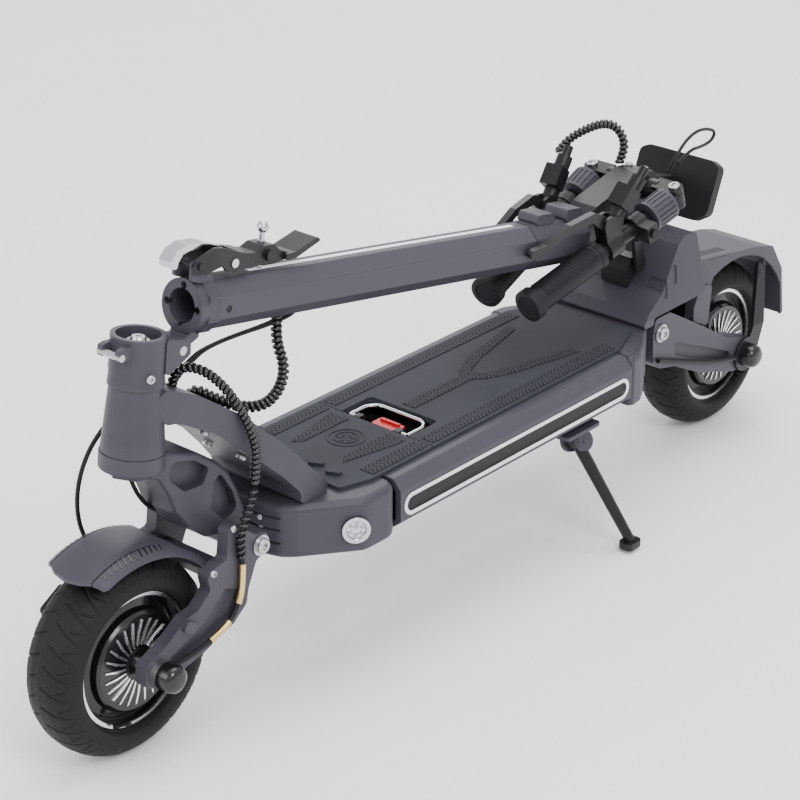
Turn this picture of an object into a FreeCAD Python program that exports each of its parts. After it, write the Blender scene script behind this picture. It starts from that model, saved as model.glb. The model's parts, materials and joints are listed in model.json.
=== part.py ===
import FreeCAD, Part
import os
from math import sin, cos, tan, radians, degrees, pi, sqrt, atan2, acos
from FreeCAD import Vector as V

os.makedirs("parts", exist_ok=True)

# Drawn with +X forward, +Y the rider's left, +Z up, the ground at Z = 0 and the middle of the wheelbase at
# X = 0 (mm). save() then drops everything so that the origin lies on the standing surface of the deck.

# clearances
GAP = 0.4              # air between neighbouring bodies
RUN = 0.05             # radial running fit
FLUSH = 0.05           # air between parts bolted together

# wheels
TYRE_R = 115.0         # 9 inch class tyre, outer radius
TYRE_HALF_W = 36.5
BEAD_R = 78.0
RIM_EDGE_Y = 25.0
HUB_R = 58.0
HUB_HALF_W = 31.0
AXLE_R = 7.0
AXLE_END_Y = 92.0
DISC_R = 66.0
DISC_T = 2.4
DISC_Y = -39.0
FIN_COUNT = 24
HALF_BASE = 542.5      # half the wheelbase
WHEEL_Z = TYRE_R

# steering axis (leans back), measured along T from the bottom of the crown
STEER_X, STEER_Z = 511.0, 318.0
STEER_LEAN = 7.5
CROWN_R = 35.5
CROWN_LOW = 7.0
CROWN_TOP = 26.0
HEAD_TOP = 100.0
HEAD_TOP_R = 28.5
STEERER_R = 15.0
BASE_TOP = 154.5
BASE_R = 29.5
HINGE_T, HINGE_N = 135.2, -38.7
CATCH_T, CATCH_N = 139.0, 38.0
HINGE_PIN_R = 5.0
TONGUE_HALF_W = 13.5
LUG_OUT_Y = 28.0

# stem, folded back along the deck
STEM_TILT = 10.6
STEM_LEN = 682.0
STEM_W = 54.0
STEM_SEAT = 0.5         # air left under the unfolded stem
FOOT_LEN = 30.0
FOOT_R = 29.5
HEADCAST_U = 575.0
WALL = 3.5
BAR_U, BAR_V = 804.6, 54.6
KNUCKLE_Y = 64.0

# handlebar
BAR_R = 11.0
BAR_LEN = 262.0
GRIP_R = 18.5
GRIP_FROM = 144.0
FOLD_DIR = (0.952, 0.117, -0.281)
COLLAR_R = 21.0
COLLAR_FROM, COLLAR_TO = 17.0, 55.0
PERCH_S = 122.0
LEVER_PIVOT = (125.0, 34.0)

# suspension
F_PIVOT = (385.0, 203.0)
R_PIVOT = (-345.0, 211.0)
PIVOT_R = 8.0
BOSS_R = 16.0
ARM_IN_Y = 46.0
F_ARM_OUT_Y = 62.0
R_ARM_OUT_Y = 70.0
FORK_HALF_W = 28.0

# deck
DECK_HALF_W = 115.0
DECK_Z0, DECK_Z1 = 165.0, 230.0
SHELL_X0, SHELL_X1 = -222.0, 213.0
SHELL_WALL = 4.0
NOSE_X = 352.0
MAT_Z1 = 234.0
MAT_HALF_W = 90.0
LED_Z = 196.0
LED_H = 28.0
LED_BAND = 5.0
LED_DEPTH = 4.0

# kickstand
STAND_X, STAND_Y, STAND_Z = -135.0, 98.0, 145.0
FOOT_XY = (-172.0, 158.0)
FOOT_CLEAR = 4.5        # air under the stand foot until the scooter leans onto it

# ---- cable entries: far and near end of each drilled hole, and where the stem cable leaves the stem ----
NECK_HOLE = ((447.7, -0.2, 378), (449.5, 1, 402))
NECK_HOLE_FAR = ((389, -43, 335), (386, -34, 362))
STEM_HOLE_U = 147.0

# ---- lamp on the deck corner ----
LAMP_AT, LAMP_DIR = (280.5, 107.6, LED_Z), (0.6, 0.8, 0.0)

# ---- rear catch: pivot in X, Z and the pin it holds, along and above the stem axis ----
CATCH_AT = (-352.0, 292.0)
CATCH_PIN_U, CATCH_PIN_V = 768.0, 8.0

# ---- folding latch, in the stem's own axes: lever pivot, hook pivot, cheeks, hook and safety pin ----
LATCH_X, LATCH_Z = -3.0, 46.4
LEVER_PIN_X, LEVER_PIN_Z = -53.2, 44.6
CHEEK_IN_Y, CHEEK_OUT_Y = 15.1, 18.8
HOOK_HALF_W = 9.0
SAFE_X = -112.0

# ---- helpers -------------------------------------------------------------------------------------
def box(x0, x1, y0, y1, z0, z1):
    return Part.makeBox(x1 - x0, y1 - y0, z1 - z0, V(x0, y0, z0))


def rod(p, q, r):
    p, q = V(*p), V(*q)
    return Part.makeCylinder(r, (q - p).Length, p, q - p)


def tube(p, q, r, r_in):
    return rod(p, q, r).cut(rod(p, q, r_in))


def along_y(x, z, r, y0, y1):
    return Part.makeCylinder(r, y1 - y0, V(x, y0, z), V(0, 1, 0))


def ring_y(x, z, r, r_in, y0, y1):
    return along_y(x, z, r, y0, y1).cut(along_y(x, z, r_in, y0 - 1, y1 + 1))


def rounded(points, radius, closed=True):
    """Closed wire through 3-D points, each corner rounded as far as its edges allow."""
    pts = [V(*p) for p in points]
    n = len(pts)
    ends = []
    for i, p in enumerate(pts):
        a, b = pts[i - 1] - p, pts[(i + 1) % n] - p
        half = a.getAngle(b) / 2
        if radius <= 0 or half > pi / 2 - 0.02:
            ends.append((p, None, p))
            continue
        back = min(radius / tan(half), 0.45 * a.Length, 0.45 * b.Length)
        a, b = V(a).normalize(), V(b).normalize()
        s, e = p + a * back, p + b * back
        m = V(a + b).normalize()
        r = back * tan(half)
        ends.append((s, p + m * (sqrt(back * back + r * r) - r), e))
    edges = []
    for i, (s, mid, e) in enumerate(ends):
        if mid is not None:
            edges.append(Part.Arc(s, mid, e).toShape())
        nxt = ends[(i + 1) % n][0]
        if (nxt - e).Length > 1e-6:
            edges.append(Part.makeLine(e, nxt))
    return Part.Wire(edges)


def slab_xz(points, y0, y1, radius=0.0):
    """Prism of an X-Z outline between two Y planes."""
    w = rounded([(x, y0, z) for x, z in points], radius)
    return Part.Face(w).extrude(V(0, y1 - y0, 0))


def slab_xy(points, z0, z1, radius=0.0):
    w = rounded([(x, y, z0) for x, y in points], radius)
    return Part.Face(w).extrude(V(0, 0, z1 - z0))


def slab_yz(points, x0, x1, radius=0.0):
    w = rounded([(x0, y, z) for y, z in points], radius)
    return Part.Face(w).extrude(V(x1 - x0, 0, 0))


def mirrored(points):
    """Outline given for +Y only, closed by its mirror image in Y."""
    return list(points) + [(x, -y) for x, y in reversed(points) if abs(y) > 1e-9]


def mirror_y(s):
    return s.mirror(V(0, 0, 0), V(0, 1, 0))


def both(s):
    return [s, mirror_y(s)]


def fuse(*shapes):
    out = shapes[0].multiFuse(list(shapes[1:])) if len(shapes) > 1 else shapes[0]
    return out.removeSplitter()


def revolve_y(profile, x, z):
    """Turn a (radius, y) outline about the Y-parallel axis through x, z."""
    w = Part.makePolygon([V(x + r, y, z) for r, y in profile] + [V(x + profile[0][0], profile[0][1], z)])
    return Part.Face(w).revolve(V(x, 0, z), V(0, 1, 0), 360)


def soften(s, r, pick):
    """Fillet the edges a test picks; leave the shape alone if the kernel can't."""
    edges = [e for e in s.Edges if pick(e)]
    try:
        out = s.makeFillet(r, edges) if edges else s
        return out if out.isValid() and len(out.Solids) == len(s.Solids) else s
    except Exception:
        return s


def steer_point(n, y, t):
    a = radians(STEER_LEAN)
    return (STEER_X + n * cos(a) - t * sin(a), y, STEER_Z + n * sin(a) + t * cos(a))


def stem_origin():
    """Centre of the stem's end face, placed so that unfolding lands it on the base."""
    a, (hx, _, hz) = radians(STEM_TILT), steer_point(HINGE_N, 0, HINGE_T)
    u = -(BASE_TOP + STEM_SEAT - HINGE_T)
    return hx + u * cos(a) + HINGE_N * sin(a), hz + u * sin(a) - HINGE_N * cos(a)


STEM_X, STEM_Z = stem_origin()


def to_steer(s):
    s = s.copy()
    s.rotate(V(0, 0, 0), V(0, 1, 0), -STEER_LEAN)
    s.translate(V(STEER_X, 0, STEER_Z))
    return s


def to_stem(s):
    """Stem frame: -X runs from the foot towards the handlebar, +Z away from the rider's side."""
    s = s.copy()
    s.rotate(V(0, 0, 0), V(0, 1, 0), -STEM_TILT)
    s.translate(V(STEM_X, 0, STEM_Z))
    return s


def stem_point(u, y, v):
    a = radians(STEM_TILT)
    return (STEM_X - u * cos(a) - v * sin(a), y, STEM_Z - u * sin(a) + v * cos(a))


def save(name, *shapes):
    solids = []
    for s in shapes:
        solids += s.Solids
    out = (solids[0] if len(solids) == 1 else Part.makeCompound(solids)).copy()
    out.translate(V(0, 0, -MAT_Z1))
    out.exportStep("parts/%s.step" % name)


def bolt(p, d, r, h, socket=True):
    """Button head bolt standing on p, head towards d."""
    d = V(*d).normalize()
    p = V(*p)
    head = Part.makeCylinder(r, h, p, d)
    head = soften(head, min(0.45 * h, 0.4 * r), lambda e: (e.CenterOfMass - (p + d * h)).Length < 0.01)
    if socket:
        head = head.cut(Part.makeCylinder(0.42 * r, 0.6 * h, p + d * (0.4 * h + 0.01), d))
    return head


# ---- wheels ----------------------------------------------------------------------------------------
def tyre_profile():
    pts = [(BEAD_R, RIM_EDGE_Y - 1.5), (BEAD_R + 6, 31.0), (BEAD_R + 13, 35.2), (BEAD_R + 20, TYRE_HALF_W),
           (103.5, 35.0), (109.5, 30.0), (113.2, 22.0), (114.7, 12.0), (TYRE_R, 4.0)]
    inner = [(BEAD_R, 15.0), (BEAD_R + 5, 22.0), (BEAD_R + 17, 28.0), (103.0, 22.0), (107.0, 8.0)]
    outer = pts + [(r, -y) for r, y in reversed(pts)]
    inside = inner + [(r, -y) for r, y in reversed(inner)]
    return outer + list(reversed(inside))


def wheel(prefix, x):
    save(prefix + "_tyre", revolve_y(tyre_profile(), x, WHEEL_Z))
    lip = BEAD_R - FLUSH
    half = [(9.0, HUB_HALF_W), (HUB_R - 3, HUB_HALF_W), (HUB_R, HUB_HALF_W - 3), (HUB_R + 2, 20.0),
            (70.0, 17.0), (73.0, RIM_EDGE_Y - 1.0), (lip, RIM_EDGE_Y - 1.0), (lip, 14.0), (lip - 4, 12.0)]
    inner = [(HUB_R - 3, 24.0), (9.0, 24.0)]
    outline = [(r, y) for r, y in half] + [(r, -y) for r, y in reversed(half)]
    hollow = [(HUB_R - 6, 25.0), (HUB_R - 6, -25.0), (9.0, -25.0), (9.0, 25.0)]
    hub = revolve_y(outline, x, WHEEL_Z).cut(revolve_y(hollow, x, WHEEL_Z))
    for y0, y1 in ((24.0, 33.0), (-33.0, -24.0)):
        hub = hub.fuse(ring_y(x, WHEEL_Z, 17.0, AXLE_R + RUN, y0, y1)).removeSplitter()
    save(prefix + "_hub", hub)
    fins = []
    for side in (1, -1):
        y0 = side * (HUB_HALF_W + FLUSH)
        for k in range(FIN_COUNT):
            a = 360.0 * k / FIN_COUNT
            pts = [(20.0, -1.0), (34.0, 1.2), (48.0, 6.0), (49.0, 8.2), (33.0, 3.6), (20.0, 1.0)]
            f = slab_xz([(x + r, WHEEL_Z + side * t) for r, t in pts], y0, y0 + side * 1.4)
            f.rotate(V(x, 0, WHEEL_Z), V(0, 1, 0), a)
            fins.append(f)
        e0 = side * (RIM_EDGE_Y - 1.0 + FLUSH)
        e1 = e0 + side * 1.6
        fins.append(ring_y(x, WHEEL_Z, BEAD_R - 0.3, BEAD_R - 4.6, min(e0, e1), max(e0, e1)))
    disc = ring_y(x, WHEEL_Z, DISC_R, 50.0, DISC_Y - DISC_T, DISC_Y)
    for k in range(24):
        a = radians(15 * k)
        rr = 55.5 + 5.0 * (k % 2)
        disc = disc.cut(along_y(x + rr * cos(a), WHEEL_Z + rr * sin(a), 2.2, DISC_Y - 4, DISC_Y + 1))
    spider = ring_y(x, WHEEL_Z, 30.0, 18.5, DISC_Y - DISC_T, -HUB_HALF_W - 1.6)
    for k in range(6):
        arm = slab_xz([(x + 22, WHEEL_Z - 5), (x + 52, WHEEL_Z - 4), (x + 52, WHEEL_Z + 4), (x + 22, WHEEL_Z + 5)],
                      DISC_Y - DISC_T, DISC_Y)
        arm.rotate(V(x, 0, WHEEL_Z), V(0, 1, 0), 60 * k)
        disc = disc.fuse(arm)
    fins.append(disc.fuse(spider).removeSplitter())
    save(prefix + "_trim", *fins)


def axle(prefix, x, arm_out):
    """Fixed axle with the motor's stator on it, washers and end caps outside the arm."""
    shaft = along_y(x, WHEEL_Z, AXLE_R, -AXLE_END_Y + 6, AXLE_END_Y - 6)
    stator = ring_y(x, WHEEL_Z, HUB_R - 8, 30.0, -17, 17)
    for k in range(18):
        slot = box(x + HUB_R - 16, x + HUB_R - 4, -18, 18, WHEEL_Z - 2, WHEEL_Z + 2)
        slot.rotate(V(x, 0, WHEEL_Z), V(0, 1, 0), 20 * k)
        stator = stator.cut(slot)
    web = along_y(x, WHEEL_Z, 31.0, -6, 6)
    parts = [shaft, stator, web]
    for side in (1, -1):
        y0 = side * (arm_out + FLUSH)
        cap = Part.makeCylinder(15.0, 12.0, V(x, y0, WHEEL_Z), V(0, side, 0))
        cone = Part.makeCone(15.0, 9.0, AXLE_END_Y - arm_out - 12.0, V(x, y0 + side * 12, WHEEL_Z), V(0, side, 0))
        parts += [cap, cone]
    save(prefix + "_axle", fuse(*parts))


# ---- suspension arms and fenders ---------------------------------------------------------------------
def arm_bores(arm, pivot, x):
    arm = arm.cut(along_y(pivot[0], pivot[1], PIVOT_R + RUN, -90, 90))
    return arm.cut(along_y(x, WHEEL_Z, AXLE_R + FLUSH, -90, 90))


def front_arm():
    px, pz = F_PIVOT
    outline = [(px - 12, pz + 11), (px + 8, pz + 16), (418, 240), (432, 241), (436, 205), (452, 203), (466, 196),
               (462, 178), (482, 162), (500, 160), (530, 140), (560, 128), (562, 103), (540, 94), (475, 108),
               (428, 124), (408, 140), (404, 158), (px + 6, pz - 17), (px - 13, pz - 10)]
    plate = slab_xz(outline, ARM_IN_Y, F_ARM_OUT_Y, 6.0)
    rib = slab_xz([(415, 160), (440, 172), (475, 142), (528, 122), (524, 112), (470, 122), (430, 136)],
                  F_ARM_OUT_Y - 5.0, F_ARM_OUT_Y + 1, 4.0)
    plate = plate.cut(rib)
    lug1 = slab_xz([(486, 150), (500, 160), (508, 150), (494, 140)], F_ARM_OUT_Y - 6, F_ARM_OUT_Y + 5, 3.0)
    plate = plate.fuse(lug1)
    bridge = slab_xz([(417, 189), (434, 180), (424, 160), (407, 168)], -ARM_IN_Y - 1, ARM_IN_Y + 1, 3.0)
    arm = fuse(plate, mirror_y(plate), bridge)
    save("front_arm", arm_bores(arm, F_PIVOT, HALF_BASE))


def rear_plate():
    px, pz = R_PIVOT
    outline = [(px + 12, pz + 22), (px - 20, pz + 22), (-432, 194), (-500, 152), (-560, 132), (-562, 100),
               (-520, 96), (-439, 122), (-380, 152), (px - 2, 160), (px + 14, 172), (px + 16, pz)]
    return slab_xz(outline, ARM_IN_Y, R_ARM_OUT_Y, 8.0)


def rear_arm():
    groove = slab_xz([(-375, 188), (-440, 160), (-510, 128), (-505, 118), (-440, 140), (-380, 168)],
                     R_ARM_OUT_Y - 6.0, R_ARM_OUT_Y + 1, 5.0)
    plate = rear_plate().cut(groove)
    bridge = slab_xz([(-384, 196), (-408, 186), (-400, 156), (-384, 158)], -ARM_IN_Y - 1, ARM_IN_Y + 1, 3.0)
    arm = fuse(plate, mirror_y(plate), bridge)
    save("rear_arm", arm_bores(arm, R_PIVOT, -HALF_BASE))


def fender_skin(x, z, r_top, r_edge, half_w, thick, a0, a1):
    """Domed mudguard: an arched section swept about the wheel from angle a0 to a1 (degrees from +X)."""
    def arch(w, rt, re):
        pts = [V(x + re, -w, z), V(x + 0.35 * re + 0.65 * rt, -0.8 * w, z), V(x + rt, 0, z),
               V(x + 0.35 * re + 0.65 * rt, 0.8 * w, z), V(x + re, w, z)]
        c = Part.BSplineCurve()
        c.interpolate(pts)
        return c.toShape(), pts
    outer, po = arch(half_w, r_top, r_edge)
    inner, pi_ = arch(half_w - thick, r_top - thick, r_edge)
    w = Part.Wire([outer, Part.makeLine(po[-1], pi_[-1]), inner, Part.makeLine(pi_[0], po[0])])
    s = Part.Face(w).revolve(V(x, 0, z), V(0, -1, 0), a1 - a0)
    s.rotate(V(x, 0, z), V(0, -1, 0), a0)
    return s


def front_fender():
    x, z = 545.0, 115.0
    skin = fender_skin(x, z, 136.0, 123.0, 46.0 - FLUSH, 4.0, 56, 148)
    tip = slab_xy(mirrored([(300, 0), (300, 60), (574, 60), (596, 42), (608, 20), (611, 0)]), 100, 320, 14.0)
    skin = skin.common(tip)
    notch = slab_xy(mirrored([(360, 0), (360, 37), (482, 37), (492, 22), (494, 0)]), 100, 320, 8.0)
    skin = skin.cut(notch)
    for k in range(12):
        a = 62.0 + 3.4 * k
        slot = box(x + 118, x + 160, 30.5, 32.2, z - 6, z + 6)
        slot = slot.fuse(mirror_y(slot))
        slot.rotate(V(x, 0, z), V(0, -1, 0), a)
        skin = skin.cut(slot)
    for bx, bz in ((424, 232), (457, 194)):
        skin = skin.cut(along_y(bx, bz, 3.2, -60, 60))
    save("front_fender", skin)


def rear_fender():
    top = [(-452, 262), (-462, 268), (-524, 258), (-600, 246), (-634, 236), (-660, 196), (-669, 128), (-664, 126)]
    inner = [(-664, 126), (-655, 196), (-630, 232), (-599, 241), (-524, 253), (-463, 263), (-454, 257)]
    crown = slab_xz(top + inner[1:], -48, 48, 3.0)
    skirt_out = [(-452, 262), (-462, 268), (-524, 258), (-600, 246), (-634, 236), (-660, 196), (-669, 128), (-664, 126)]
    rim = []
    for k in range(13):
        a = radians(40 + 9.5 * k)
        rim.append((-HALF_BASE + 130 * cos(a), WHEEL_Z + 130 * sin(a)))
    skirt = slab_xz(skirt_out + [p for p in reversed(rim) if p[1] > 140], 44, 48)
    flare = slab_xz([(-452, 262), (-505, 258), (-486, 222), (-464, 199), (-448, 205)], 44, 48, 5.0)
    skin = fuse(crown, skirt, mirror_y(skirt), flare, mirror_y(flare))
    for k in range(10):
        sx = -480.0 - 6.5 * k
        s = box(sx, sx + 2.6, 20.0, 34.0, 230, 280)
        skin = skin.cut(s.fuse(mirror_y(s)))
    foot = slab_xz([(-450, 240), (-476, 232), (-470, 176), (-436, 193), (-436, 212)],
                   44, R_ARM_OUT_Y - 12, 6.0)
    foot = foot.cut(rear_plate())
    skin = fuse(skin, foot, mirror_y(foot))
    save("rear_fender", skin)
    stays = []
    for s in (1, -1):
        lower = ring_y(-HALF_BASE, WHEEL_Z, 24.0, 15.4, R_ARM_OUT_Y + FLUSH, R_ARM_OUT_Y + 4)
        strut = slab_yz([(48.3, 226), (52.3, 226), (R_ARM_OUT_Y + 4, 150), (R_ARM_OUT_Y + 4, 112),
                         (R_ARM_OUT_Y + FLUSH, 112), (R_ARM_OUT_Y + FLUSH, 148), (48.3, 218)], -700, -400)
        side = slab_xz([(-611, 228), (-597, 232), (-548, 134), (-548, 118), (-570, 118)], 40, 90, 3.0)
        stay = strut.common(side).fuse(lower).removeSplitter()
        stay = stay.cut(along_y(-HALF_BASE, WHEEL_Z, 15.4, 40, 100))
        stay = fuse(stay, bolt((-604, 52.3, 225), (0, 1, 0), 4.0, 3.0), bolt((-594, 54.3, 211), (0, 1, 0), 4.0, 3.0))
        stays.append(stay if s > 0 else mirror_y(stay))
    save("rear_stays", *stays)


def caliper(prefix, x, s):
    """Brake caliper over the disc on the right, its bracket around the axle; s is +1 ahead, -1 behind."""
    hub = [(x + s * 14, WHEEL_Z - 16), (x + s * 46, WHEEL_Z + 36), (x + s * 34, WHEEL_Z + 64),
           (x + s * 12, WHEEL_Z + 58), (x - s * 16, WHEEL_Z + 10), (x - s * 10, WHEEL_Z - 14)]
    bracket = slab_xz(hub, -ARM_IN_Y + FLUSH, DISC_Y - DISC_T - 0.9, 4.0)
    bracket = bracket.cut(along_y(x, WHEEL_Z, AXLE_R + FLUSH, -60, -30))
    block = [(x + s * 14, WHEEL_Z + 44), (x + s * 48, WHEEL_Z + 34), (x + s * 58, WHEEL_Z + 56),
             (x + s * 24, WHEEL_Z + 76)]
    body = slab_xz(block, -57, -34.0, 5.0)
    body = body.cut(ring_y(x, WHEEL_Z, 120, BEAD_R - 5, -37.6, -30))
    body = fuse(body, bracket).cut(along_y(x, WHEEL_Z, DISC_R + 1.5, DISC_Y - DISC_T - 0.8, DISC_Y + 0.8))
    body = body.cut(ring_y(x, WHEEL_Z, 40, AXLE_R + FLUSH, -42.3, -30))
    save(prefix + "_caliper", max(body.Solids, key=lambda q: q.Volume))


def lead(points, r):
    """Cable: straight runs joined by tangent arcs."""
    pts = [V(*p) for p in points]
    edges, last = [], pts[0]
    for i in range(1, len(pts) - 1):
        a, b = pts[i - 1] - pts[i], pts[i + 1] - pts[i]
        half = a.getAngle(b) / 2
        back = 0.45 * min(a.Length, b.Length)
        a.normalize(), b.normalize()
        s, e = pts[i] + a * back, pts[i] + b * back
        rad = back * tan(half)
        m = V(a + b).normalize()
        mid = pts[i] + m * (sqrt(back * back + rad * rad) - rad)
        edges += [Part.makeLine(last, s), Part.Arc(s, mid, e).toShape()]
        last = e
    edges.append(Part.makeLine(last, pts[-1]))
    path = Part.Wire(edges)
    d = pts[1] - pts[0]
    prof = Part.Wire([Part.Edge(Part.Circle(pts[0], d, r))])
    return path.makePipeShell([prof], True, False)


def leads():
    y = F_ARM_OUT_Y + 4.2
    save("front_motor_lead", lead([(398.5, y + 2, 279), (405, y + 2.5, 262), (417, y + 2, 242), (421, y + 1, 220),
                                   (416, y, 196), (421, y, 150), (446, y, 126), (496, y, 116), (526, y, 115)], 3.4))
    y = R_ARM_OUT_Y + 4.2
    save("rear_motor_lead", lead([(-336, y, 176), (-400, y, 152), (-470, y, 127), (-514, y, 119)], 3.4))


def harnesses():
    """Spiral-wrapped cable bundles that hang between the stem, the neck and the handlebar."""
    save("stem_harness", lead([stem_point(STEM_HOLE_U, 3, -STEM_W / 2 - GAP),
                               stem_point(STEM_HOLE_U, 3, -STEM_W / 2 - 28), (291, 16, 368), (313, 26, 349),
                               (342, 28, 342), (366, 14, 347), (380, -12, 356), (386, -34, 362),
                               (388, -40, 344)], 6.6))
    save("neck_harness", lead([(448, 0, 382), (449.5, 1, 402), (443, 8, 419), (425, 22, 415), (409, 38, 395),
                               (398, 54, 365), (391, 64, 334), (391.5, 67, 309), (397.4, 68.2, 285)], 5.6))
    save("bar_harness", lead([(-352, -106, 412), (-366, -104, 424), (-381, -88, 438), (-389, -66, 450),
                              (-390, -45, 451), (-389, -31, 438), (-385, -27, 422), (-376, -27.5, 409)], 6.0))


# ---- deck ------------------------------------------------------------------------------------------
def stadium(x0, x1, z, h, y0, y1):
    r = h / 2
    return fuse(box(x0 + r, x1 - r, y0, y1, z - r, z + r), along_y(x0 + r, z, r, y0, y1),
                along_y(x1 - r, z, r, y0, y1))


def nose_outline(inset=0.0):
    i = inset
    return mirrored([(SHELL_X1 + FLUSH, 0), (SHELL_X1 + FLUSH, DECK_HALF_W - i), (262 - i / 2, DECK_HALF_W - i),
                     (272 - i / 2, 114 - i), (333 - 0.8 * i, 68 - 0.6 * i), (346 - i, 54 - 0.5 * i),
                     (NOSE_X - i, 32), (NOSE_X - i, 0)])


def deck():
    section = [(-98, DECK_Z0), (98, DECK_Z0), (DECK_HALF_W, 178), (DECK_HALF_W, 217), (104, DECK_Z1),
               (-104, DECK_Z1), (-DECK_HALF_W, 217), (-DECK_HALF_W, 178)]
    hollow = [(-94, DECK_Z0 + SHELL_WALL), (94, DECK_Z0 + SHELL_WALL), (107, 181), (107, 214),
              (100, DECK_Z1 - SHELL_WALL), (-100, DECK_Z1 - SHELL_WALL), (-107, 214), (-107, 181)]
    shell = slab_yz(section, SHELL_X0, SHELL_X1, 4.0)
    shell = shell.cut(slab_yz(hollow, SHELL_X0 - 1, SHELL_X1 + 1, 2.0))
    recess = slab_xy([(74, -52), (128, -52), (128, 52), (74, 52)], DECK_Z1 - 10, MAT_Z1 + 10, 6.0)
    shell = shell.cut(recess)
    rings, trims = [], []
    for s in (1, -1):
        y0, y1 = (DECK_HALF_W - LED_DEPTH, DECK_HALF_W + 2) if s > 0 else (-DECK_HALF_W - 2, -DECK_HALF_W + LED_DEPTH)
        shell = shell.cut(stadium(-216, 207, LED_Z, LED_H, y0, y1))
        f = (DECK_HALF_W - LED_DEPTH + FLUSH, DECK_HALF_W + 0.6)
        ring = stadium(-216 + FLUSH, 207 - FLUSH, LED_Z, LED_H - 2 * FLUSH, *f)
        b = LED_BAND
        ring = ring.cut(stadium(-216 + b, 207 - b, LED_Z, LED_H - 2 * b, 100, 130))
        core = stadium(-216 + b + FLUSH, 207 - b - FLUSH, LED_Z, LED_H - 2 * b - 2 * FLUSH, f[0], f[1] - 2.4)
        rings.append(ring if s > 0 else mirror_y(ring))
        trims.append(core if s > 0 else mirror_y(core))
    save("deck_shell", shell)

    nose = slab_xy(nose_outline(), DECK_Z0, DECK_Z1, 24.0)
    nose = soften(nose, 9.0, lambda e: abs(e.CenterOfMass.z - DECK_Z1) < 0.1 and e.CenterOfMass.x > SHELL_X1 + 2)
    nose = soften(nose, 7.0, lambda e: abs(e.CenterOfMass.z - DECK_Z0) < 0.1 and e.CenterOfMass.x > SHELL_X1 + 2)
    for z in (183.0, 199.0, 214.0):
        band = slab_xy(nose_outline(-20), z, z + 3.0, 24.0).cut(slab_xy(nose_outline(2.0), z - 1, z + 4, 22.0))
        front = slab_xy(mirrored([(295, 0), (295, 94), (350, 50), (380, 0)]), z - 1, z + 4)
        nose = nose.cut(band.common(front))
    nose = nose.cut(slab_xy(mirrored([(SHELL_X1 - 5, 0), (SHELL_X1 - 5, 100), (255, 100), (310, 60), (322, 0)]),
                            DECK_Z0 + 6, DECK_Z1 - 8, 6.0))
    c, d = V(*LAMP_AT), V(*LAMP_DIR)
    bezels = []
    for s in (1, -1):
        pocket = Part.makeCylinder(16.0 + FLUSH, 40.0, c - d * 9.0, d)
        bezel = Part.makeCylinder(16.0, 14.0, c - d * 9.0 + d * FLUSH, d).cut(
            Part.makeCylinder(12.5, 30.0, c - d * 3.0, d))
        glass = Part.makeCylinder(12.5 - FLUSH, 5.0, c - d * 3.0 + d * FLUSH, d)
        nose = nose.cut(pocket if s > 0 else mirror_y(pocket))
        bezels.append(bezel if s > 0 else mirror_y(bezel))
        rings.append(glass if s > 0 else mirror_y(glass))
    nose = max(nose.Solids, key=lambda q: q.Volume)
    save("deck_lamps", *(rings + bezels))

    tail = slab_xy(mirrored([(SHELL_X0 - FLUSH, 0), (SHELL_X0 - FLUSH, DECK_HALF_W), (-246, 112), (-272, 98),
                             (-300, 78), (-318, 68), (-321, 44), (-366, 44), (-368, 0)]), DECK_Z0, DECK_Z1, 8.0)
    tail = soften(tail, 8.0, lambda e: abs(e.CenterOfMass.z - DECK_Z1) < 0.1 and -300 < e.CenterOfMass.x < SHELL_X0 - 2)
    tail = tail.cut(slab_xz([(-345, 160), (-380, 160), (-380, 196), (-362, 190)], -60, 60))
    tail = tail.cut(slab_xy(mirrored([(SHELL_X0 + 5, 0), (SHELL_X0 + 5, 96), (-262, 90), (-300, 40), (-300, 0)]),
                            DECK_Z0 + 6, DECK_Z1 - 8, 6.0))
    tail = tail.cut(along_y(R_PIVOT[0], R_PIVOT[1], PIVOT_R + FLUSH, -60, 60))
    save("deck_ends", nose, tail)

    mat = slab_xy(mirrored([(274, 0), (274, 78), (232, MAT_HALF_W), (-228, MAT_HALF_W), (-288, 66), (-288, 0)]),
                  DECK_Z1 + FLUSH, MAT_Z1, 6.0)
    mat = mat.cut(slab_xy([(74, -52), (128, -52), (128, 52), (74, 52)], DECK_Z1 - 10, MAT_Z1 + 10, 6.0))
    mat = mat.cut(box(126.5, 128.0, -MAT_HALF_W - 1, MAT_HALF_W + 1, MAT_Z1 - 1.5, MAT_Z1 + 1))
    ports = []
    for px_, py_ in ((246, 22), (250, 52)):
        tri = [(px_ - 12, py_ - 10), (px_ + 12, py_ - 10), (px_, py_ + 12)]
        ports.append(slab_xy(tri, MAT_Z1 - 2 + FLUSH, MAT_Z1 + 4, 4.0))
        mat = mat.cut(slab_xy(tri, MAT_Z1 - 2, MAT_Z1 + 10, 4.0))
    save("deck_mat", mat)

    pack = slab_xy([(-190, -80), (140, -80), (140, 80), (-190, 80)], DECK_Z0 + SHELL_WALL + GAP, 212.0, 8.0)
    pack = pack.cut(slab_xy([(78, -48), (124, -48), (124, 48), (78, 48)], 204.0, 220.0, 5.0))
    save("battery_pack", pack)
    save("controllers", *[slab_xy([(148, s * 6), (196, s * 6), (196, s * 84), (148, s * 84)][::s],
                                  DECK_Z0 + SHELL_WALL + GAP, 206.0, 4.0) for s in (1, -1)])

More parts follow.
